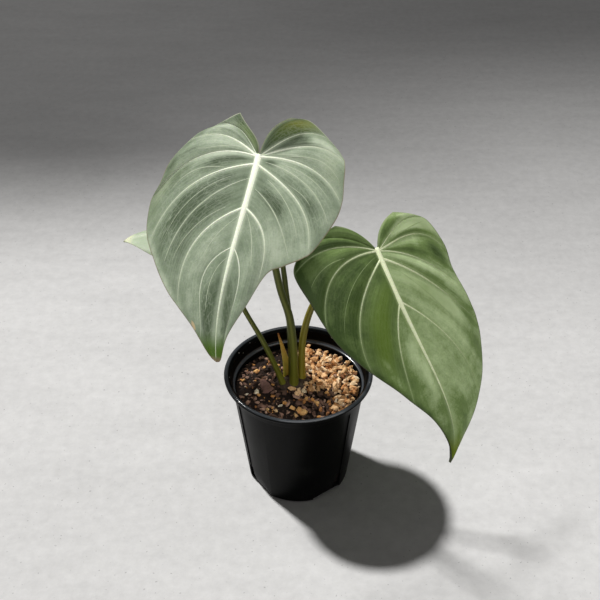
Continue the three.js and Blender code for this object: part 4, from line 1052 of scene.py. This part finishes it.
FOOT_TURN = -8.5                # heading of the front foot, degrees from the front
FACETS = [FOOT_TURN + 45 + 90 * corner for corner in range(4)]      # the flats between the feet
FACET_REACH = 33.8              # how far a flat is from the axis at the base
FACET_SLOPE = 0.26              # how far it leans out for each millimetre of height
WALL = 1.6
DRAFT = math.atan2(10, 81.2)    # the wall leans 10 mm out over the height of the body
ARCH = (24, 10, 5)              # the low arch under each flat, as its sizes in X, Y and Z
SLOT = (6, 14, 13.5)            # the side drain beside each flat
SLOT_PLACE = (0, -38, 10.25)
SLOT_TURN = 12.5                # from the middle of the flat, in degrees
GROOVE = (4.6, 3, 76)           # the shallow groove up the wall by each drain
GROOVE_INWARD = (0, -0.8, 0)    # before the tilt, so that it bites 0.7 deep
GROOVE_PLACE = (0, -41.6, 43)
GROOVE_TURNS = (12, 12, 9, 9)   # from the middle of each flat
POT_OUTSIDE = [(0, 0), (34.9, 0), (35.6, 0.35), (36.3, 1.1), (36.6, 2.4), (46.6, 83.6),
               (46.8, 84.1), (47.6, 84.6), (47.85, 85.2), (49.0, 90.2), (49.25, 90.8),
               (50.4, 91.0), (51.3, 91.35), (52.0, 92.0), (52.4, 92.9), (52.5, 93.5),
               (52.25, 94.3), (51.7, 94.8), (51.1, 95), (50.4, 94.9), (49.8, 94.5),
               (49.3, 93.8), (48.05, 92.6), (0, 92.6)]
POT_ROOM = [(0, 1.8), (24, 1.8), (26, 4.3), (35.5, 4.3), (44.9, 84.0), (45.15, 84.6),
            (45.6, 84.75), (46.1, 85.2), (46.4, 85.9), (48.0, 92.4), (48.05, 96), (0, 96)]


def turned(profile, sides):
    """A solid of revolution from a closed profile that starts and ends on the axis."""
    points, faces, starts = [], [], []
    for radius, height in profile:
        starts.append(len(points))
        if radius == 0:
            points.append((0, 0, height))
        else:
            points.extend((radius * math.cos(angle), radius * math.sin(angle), height)
                          for angle in angles(sides))
    for n in range(len(profile) - 1):
        a, b = starts[n], starts[n + 1]
        for k in range(sides):
            j = (k + 1) % sides
            if profile[n][0] == 0:
                faces.append((a, b + j, b + k))
            elif profile[n + 1][0] == 0:
                faces.append((a + k, a + j, b))
            else:
                faces.append((a + k, a + j, b + j, b + k))
    return points, faces


def loose(name, points, faces):
    """A plain solid to cut from or with."""
    mesh = bpy.data.meshes.new(name)
    mesh.from_pydata([tuple(c * MM for c in p) for p in points], [], faces)
    return put(name, mesh)


def block(size, centre, tilt=0.0, after=(0, 0, 0), heading=0.0):
    """A cutting block: made at centre, tilted about X, moved, then turned to its heading."""
    half = [value / 2 for value in size]
    corners = [(x * half[0], y * half[1], z * half[2])
               for x in (-1, 1) for y in (-1, 1) for z in (-1, 1)]
    matrix = (Matrix.Rotation(math.radians(heading), 4, "Z") @ Matrix.Translation(after)
              @ Matrix.Rotation(tilt, 4, "X") @ Matrix.Translation(centre))
    points = [tuple(matrix @ Vector(corner)) for corner in corners]
    faces = [(0, 1, 3, 2), (4, 6, 7, 5), (0, 4, 5, 1), (2, 3, 7, 6), (0, 2, 6, 4), (1, 5, 7, 3)]
    return points, faces


def facet_blocks(inset):
    """What lies outside the four flats round the foot."""
    return [block((60, 60, 60), (0, -30, 0), math.atan(FACET_SLOPE),
                  (0, inset - FACET_REACH, 0), facet) for facet in FACETS]


def cut_away(thing, tools):
    """Takes a set of closed shapes out of thing."""
    for number, (points, faces) in enumerate(tools):
        tool = loose(f"tool_{number}", points, faces)
        modifier = thing.modifiers.new("cut", "BOOLEAN")
        modifier.operation, modifier.solver, modifier.object = "DIFFERENCE", "EXACT", tool
        bpy.context.view_layer.update()
        graph = bpy.context.evaluated_depsgraph_get()
        mesh = bpy.data.meshes.new_from_object(thing.evaluated_get(graph))
        thing.modifiers.clear()
        thing.data = mesh
        bpy.data.objects.remove(tool)


def pot_room(sides):
    """The hollow inside the pot, flat behind the flats of the foot."""
    room = loose("pot_room", *turned(POT_ROOM, sides))
    cut_away(room, facet_blocks(WALL))
    points = [tuple(v.co / MM) for v in room.data.vertices]
    faces = [list(p.vertices) for p in room.data.polygons]
    bpy.data.objects.remove(room)
    return points, faces


def make_pot():
    """The black pot: lipped, stepped inside, with feet, arches, side drains and grooves."""
    sides = 160
    pot = loose("pot_body", *turned(POT_OUTSIDE, sides))
    tools = facet_blocks(0) + [pot_room(sides)]
    for corner, facet in enumerate(FACETS):
        hand = 1 if corner % 2 == 0 else -1
        tools.append(block(ARCH, (0, -FACET_REACH, 0), heading=facet))
        tools.append(block(SLOT, SLOT_PLACE, heading=facet + SLOT_TURN * hand))
        tools.append(block(GROOVE, GROOVE_INWARD, DRAFT, GROOVE_PLACE,
                           facet + GROOVE_TURNS[corner] * hand))
    cut_away(pot, tools)
    pot.name = pot.data.name = "nursery_pot"
    pot.data.materials.clear()
    pot.data.materials.append(pot_finish())
    pot.data.shade_smooth()
    pot.data.set_sharp_from_angle(angle=math.radians(28))
    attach(pot, ROOT_BODY)
    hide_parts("pot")


make_pot()

# ---------------------------------------------------------------- potting mix and pumice

SOIL_LEVEL = 82.6
HEAP = 1.6              # how much higher the fill lies on the right
PUMICE_DEPTH = 3.0
BACK_DROP = 4.0         # how much lower the fill lies at the back wall


def edge_at(y):
    """X of the edge of the pumice, which lies to the right of it."""
    return 0.5 + 0.16 * y + 2.5 * np.sin(y / 6)


def mix_height(x, y):
    """The top of the mix, which is sunk where the pumice lies on it."""
    lumps = (0.5 * np.sin(0.6 * x + 1.3) * np.cos(0.7 * y - 0.4)
             + 0.6 * np.sin(0.37 * x - 0.52 * y))
    fill = SOIL_LEVEL + HEAP / (1 + np.exp(-(x - 8) / 8)) + lumps
    fill = fill - BACK_DROP / (1 + np.exp((24 - y) / 6))
    bed = 1 - 0.65 / (1 + np.exp((y + 10) / 2)) / (1 + np.exp((x - 26) / 2))
    return float(fill - bed * PUMICE_DEPTH / (1 + np.exp((edge_at(y) - x) / 1.5)))


def bare_in_front(x, y):
    """Where the pumice gives way at the front to dark mix, crumbs and a few grits."""
    return y < -9 + 0.3 * (x - 10) and x < 25


def rough_at(x, y, scale, seed=0.0):
    return noise.fractal(Vector((x * scale, y * scale, seed)), 1.0, 2.1, 4)


def potting_mix():
    """The whole body of mix: crumbly on top, and filling the pot below."""
    sides, rings = 120, 46
    top_radius, highest, inside_flats = 44.3, 86.5, 2.1
    below = ((44.2, 80), (35.2, 5.0), (24, 2.3), (10, 2.3))     # the body's rings under the top
    points = [(0, 0, mix_height(0, 0))]
    for radius in np.linspace(0, 1, rings)[1:] * top_radius:
        for angle in angles(sides):
            x, y = radius * math.cos(angle), radius * math.sin(angle)
            crumb = 0.9 * rough_at(x, y, 0.45) + 0.45 * rough_at(x, y, 1.5, 4.0)
            points.append((x, y, min(mix_height(x, y) + crumb - 0.25, highest)))
    for radius, height in below:
        for angle in angles(sides):
            inset = 1.0
            if height < 20:
                turn = (math.degrees(angle) + 90 - FOOT_TURN) % 90 - 45
                flat = FACET_REACH + FACET_SLOPE * height - inside_flats
                inset = min(1.0, flat / math.cos(math.radians(turn)) / radius)
            points.append((radius * inset * math.cos(angle), radius * inset * math.sin(angle),
                           height))
    total = rings - 1 + len(below)
    faces = [(0, 1 + k, 1 + (k + 1) % sides) for k in range(sides)]
    faces += [face[::-1] for face in grid_faces(total, sides, True, 1)]
    faces.append(tuple(1 + (total - 1) * sides + k for k in range(sides - 1, -1, -1)))
    add_piece("mix_body", points, faces, mix_finish(), ["potting_mix"])


def pebble(rng, radius, stretch, cuts, roughness, level):
    """A rough stone: a ball with flats knocked off it, stretched and pitted."""
    points, faces = ball(level)
    for _ in range(cuts):
        normal = rng.normal(size=3)
        normal /= np.linalg.norm(normal)
        over = np.maximum(points @ normal - rng.uniform(0.4, 0.8), 0)
        points = points - over[:, None] * normal * 0.92
    seed = rng.uniform(0, 90)
    bumps = np.array([noise.noise(Vector(p * 2.3 + seed)) for p in points])
    points = points * (1 + roughness * bumps)[:, None]
    points = points * stretch * radius
    turn = np.array(Matrix.Rotation(rng.uniform(0, 6.3), 3, "Z")
                    @ Matrix.Rotation(rng.uniform(-0.5, 0.5), 3, "X")
                    @ Matrix.Rotation(rng.uniform(-0.5, 0.5), 3, "Y"))
    return points @ turn.T, faces


def heap(name, stones, material, replaces=(), crease=38):
    """Joins stones, each (points, faces, centre, shade), into one piece."""
    points, faces, shades = [], [], []
    for stone, stone_faces, centre, shade in stones:
        start = len(points)
        points.extend(stone + np.array(centre))
        faces.extend([[v + start for v in face] for face in stone_faces])
        shades.extend([shade] * len(stone))
    add_piece(name, points, faces, material, replaces, {"shade": shades}, crease)


# The feet of the stalks and the sheath, and the rhizome between them: X, Y and radius
PLANTED = [(-1, -2.5, 4.0), (4.6, 4.0, 3.6), (-10.5, -1.6, 3.6), (-4.4, 5.4, 3.2),
           (-10.2, 7.4, 3.4), (-3.2, 1.2, 7.5)]


def clear_of_plant(x, y, room):
    return all(math.hypot(x - a, y - b) > radius + room for a, b, radius in PLANTED)


def anywhere(rng, reach):
    """A place drawn at random within a reach of the pot's axis."""
    spread, angle = reach * math.sqrt(rng.random()), rng.uniform(0, 2 * math.pi)
    return spread * math.cos(angle), spread * math.sin(angle), spread


def pumice_stones():
    """Three layers of grains, the upper ones with more room between them."""
    rng = np.random.default_rng(5)
    tries, within, wall_at = 30, 42.6, 44.2
    stones = []
    # how many, the smallest and largest radius, how high they lie and how far apart
    layers = ((200, 2.2, 3.9, 1.3, 0.66), (150, 1.9, 4.1, 2.9, 0.82), (50, 1.6, 3.2, 4.6, 1.1))
    for count, small, large, lift, room in layers:
        layer = []
        for _ in range(count * tries):
            if len(layer) >= count:
                break
            radius = rng.uniform(small, large)
            x, y, spread = anywhere(rng, within)
            if x < edge_at(y) + 1.2 - 4.5 * rng.random() ** 3 or spread + radius > wall_at:
                continue
            if bare_in_front(x, y) or not clear_of_plant(x, y, radius * 0.6):
                continue
            if any(math.hypot(x - a, y - b) < room * (radius + r) for a, b, r in layer):
                continue
            layer.append((x, y, radius))
            z = mix_height(x, y) + 0.3 + lift + rng.uniform(-0.5, 0.5)
            stretch = np.array([rng.uniform(1.0, 1.45), rng.uniform(0.7, 0.95),
                                rng.uniform(0.55, 0.8)])
            stone, faces = pebble(rng, radius, stretch, 13, 0.42, 3)
            shade = float(np.clip(rng.normal(0.47, 0.22), 0, 1))
            stones.append((stone, faces, (x, y, z), shade))
    stops = ((0.0, (0.24, 0.10, 0.04)), (0.2, (0.54, 0.25, 0.09)), (0.42, (0.78, 0.47, 0.22)),
             (0.65, (0.88, 0.60, 0.34)), (0.9, (0.92, 0.74, 0.50)), (1.0, (0.95, 0.88, 0.76)))
    material = grain_finish("pumice_stone", stops, 900.0, 0.0005)
    heap("pumice_grains", stones, material, ["pumice"])


# Bits that stand where they are wanted: X, Y, radius and shade, from dark at 0 to pale at 1
LUMPS = [(-30, -16, 2.4, 0.8), (-24, -24, 2.6, 0.75), (-33, -2, 2.0, 0.6), (-19, 2, 2.2, 0.5),
         (-12, -32, 2.2, 0.75), (0, -11, 3.0, 0.8), (-9.4, -10, 2.6, 0.45), (-13, -8.5, 2.2, 0.3),
         (16, -12, 3.4, 0.4), (21, -15.5, 2.8, 0.3), (11.5, -26.5, 3.2, 0.3),
         (23, -20, 2.6, 0.45), (-35, -19, 1.8, 0.9), (-18, -9, 2.0, 0.7), (-27, 10, 2.4, 0.3)]
GRITS = [(-39, 3.5, 1.7, 0.45), (-36.6, -10.6, 1.2, 1.0), (-29.3, -9.7, 2.3, 0.95),
         (-18.3, -14, 2.0, 0.25), (-31, 14.7, 1.9, 0.5), (-25, 19.5, 1.5, 0.45),
         (-21.5, -27.6, 1.7, 0.6), (-12.2, -24.3, 1.6, 1.0), (-15.6, -28.9, 1.6, 0.7),
         (-4.4, -25.4, 2.7, 0.45), (3.8, -31.1, 3.4, 0.5), (6, -17.4, 2.2, 0.4),
         (-2, -34.5, 2.4, 0.6), (13, -22, 2.2, 0.55), (24, -27, 2.3, 0.3),
         (-15, 21, 1.8, 0.5), (-9, 17, 1.6, 0.6), (-37, -4, 1.0, 0.8)]


def mix_crumbs(rng):
    """Bits of bark and coir on the dark side, and dark bits in the pumice."""
    in_all, within = 760, 43.4
    stones = []
    for _ in range(in_all):
        x, y, _ = anywhere(rng, within)
        among_pumice = x > edge_at(y)
        bare = bare_in_front(x, y)
        if not clear_of_plant(x, y, 0.2) or (among_pumice and not bare and rng.random() < 0.7):
            continue
        radius = (0.5 + 1.2 * rng.random() ** 2) * (1.5 if bare and among_pumice else 1)
        z = mix_height(x, y) + 0.25 * radius
        if among_pumice:
            z += 1.4 if bare else 3.4
        stretch = np.array([rng.uniform(1.0, 2.0), rng.uniform(0.6, 1.0), rng.uniform(0.35, 0.8)])
        stone, faces = pebble(rng, radius, stretch, 5, 0.25, 2)
        stones.append((stone, faces, (x, y, z), float(rng.random() ** 1.2)))
    for x, y, radius, shade in LUMPS:
        stone, faces = pebble(rng, radius, np.array([1.2, 0.9, 0.7]), 9, 0.3, 3)
        z = mix_height(x, y) + (2.6 if x > edge_at(y) else 0.5)
        stones.append((stone, faces, (x, y, z), shade))
    stops = ((0.0, (0.010, 0.007, 0.005)), (0.35, (0.056, 0.032, 0.023)),
             (0.7, (0.22, 0.122, 0.086)), (1.0, (0.46, 0.29, 0.21)))
    heap("mix_crumbs", stones, grain_finish("crumbs", stops, 1500.0, 0.0004))


def pale_grits(rng):
    """Grits like the pumice: a few big ones on the bare front, and small ones on the left."""
    in_all, front_until, within = 90, 34, 41
    spots, grits = list(GRITS), []
    while len(spots) < in_all:
        in_front = len(spots) < front_until
        right, front = ((-3, 26), (-38, -8)) if in_front else ((-41, 2), (-38, 32))
        x, y = rng.uniform(*right), rng.uniform(*front)
        radius = rng.uniform(1.2, 2.7) if in_front else 0.5 + 1.0 * rng.random() ** 2
        on_its_side = in_front == (x > edge_at(y))
        if math.hypot(x, y) < within and on_its_side and clear_of_plant(x, y, 1):
            spots.append((x, y, radius, rng.uniform(0.0, 0.42)))
    for x, y, radius, shade in spots:
        stretch = np.array([rng.uniform(1.1, 1.4), 0.85, 0.75])
        stone, faces = pebble(rng, radius, stretch, 10, 0.25, 3)
        z = mix_height(x, y) + (2.8 if x > edge_at(y) else 0.4 * radius)
        grits.append((stone, faces, (x, y, z), shade))
    stops = ((0.0, (0.22, 0.09, 0.035)), (0.3, (0.58, 0.27, 0.08)), (0.6, (0.76, 0.47, 0.19)),
             (1.0, (0.90, 0.82, 0.64)))
    heap("pale_grits", grits, grain_finish("grit", stops, 1100.0, 0.0004))


def bark_chip():
    """A flat flake of bark, split in layers along its edge."""
    rng = np.random.default_rng(3)
    x, y, half_sizes = -23.5, -3.0, np.array([5.0, 7.6, 1.7])
    stone, faces = pebble(rng, 1.0, np.ones(3), 8, 0.18, 5)
    stone = stone * half_sizes
    layers = 0.16 * np.sin(stone[:, 2] * 6)
    stone[:, :2] *= (1 + layers[:, None] * 0.25)
    turn = np.array(Matrix.Rotation(0.3, 3, "Z"))
    centre = (x, y, mix_height(x, y) + 1.3)
    stops = ((0.0, (0.05, 0.025, 0.02)), (0.5, (0.17, 0.09, 0.075)), (1.0, (0.30, 0.18, 0.15)))
    material = grain_finish("bark_skin", stops, 650.0, 0.0006)
    heap("bark_chip", [(stone @ turn.T, faces, centre, 0.55)], material,
         ["bark_flake"], crease=40)


def creeping_stem():
    """The creeping stem: knobbly, with rings left by old leaves."""
    middle, half_sizes = np.array([-3.2, 1.2, 80]), np.array([14, 9, 6.5])
    points, faces = ball(5)
    lumps = np.array([noise.fractal(Vector(p * 2.2), 1.0, 2.0, 3) for p in points])
    rings = 0.05 * np.abs(np.sin(points[:, 0] * 7.5 + points[:, 1])) ** 6
    points = points * (1 + 0.07 * lumps + rings - 0.03)[:, None]
    add_piece("creeping_stem", points * half_sizes + middle, faces, rhizome_finish(),
              ["rhizome"])


potting_mix()
pumice_stones()
crumb_draw = np.random.default_rng(12)
mix_crumbs(crumb_draw)
pale_grits(crumb_draw)
bark_chip()
creeping_stem()

# ---------------------------------------------------------------- floor and light

FLOOR_HALF = 6
FLOOR_CORNERS = [(x * FLOOR_HALF, y * FLOOR_HALF, 0)
                 for x, y in ((-1, -1), (1, -1), (1, 1), (-1, 1))]
SUN_WAY = (-0.49, 0.405, 0.80)
FILL_WAY = (0.30, -0.42, 0.86)
SUN_STRENGTH = 3.6
FILL_STRENGTH = 2.2
PALE_SHARE = 0.14       # the share of the floor's sun that the leaves do hold back

floor_mesh = bpy.data.meshes.new("floor")
floor_mesh.from_pydata(FLOOR_CORNERS, [], [(0, 1, 2, 3)])
floor_mesh.materials.append(floor_finish())
floor = put("floor", floor_mesh)


def names(*starts):
    return [thing for thing in bpy.data.objects if thing.name.startswith(starts)]


def sunlight(name, way, strength, degrees, lit=None, unlit=None, unblocked=()):
    """A far light, which may light only some things, and which some may not shade."""
    lamp = put(name, bpy.data.lights.new(name, "SUN"))
    lamp.data.energy = strength
    lamp.data.angle = math.radians(degrees)
    lamp.data.color = (1.0, 0.985, 0.96)
    lamp.rotation_euler = Vector(way).to_track_quat("Z", "Y").to_euler()
    for things, state, side in ((lit, "INCLUDE", "receiver_collection"),
                                (unlit, "EXCLUDE", "receiver_collection"),
                                (unblocked, "EXCLUDE", "blocker_collection")):
        if things:
            group = bpy.data.collections.new(f"{name}_{side}")
            for thing in things:
                group.objects.link(thing)
            for entry in group.collection_objects:
                entry.light_linking.link_state = state
            setattr(lamp.light_linking, side, group)


leaves = names("leaf_", "net_", "new_leaf")
sunlight("sun_on_plant", SUN_WAY, SUN_STRENGTH, 7, unlit=[floor])
sunlight("soft_fill", FILL_WAY, FILL_STRENGTH, 70, unlit=[floor])
sunlight("sun_on_floor", SUN_WAY, SUN_STRENGTH * (1 - PALE_SHARE), 5, lit=[floor],
         unblocked=leaves)
sunlight("pale_sun_on_floor", SUN_WAY, SUN_STRENGTH * PALE_SHARE, 5, lit=[floor])

world = bpy.data.worlds.new("studio")
world.use_nodes = True
background = world.node_tree.nodes["Background"]
background.inputs["Color"].default_value = (1.0, 0.965, 0.93, 1)
background.inputs["Strength"].default_value = 0.10
bpy.context.scene.world = world
bpy.context.scene.view_settings.view_transform = "Standard"
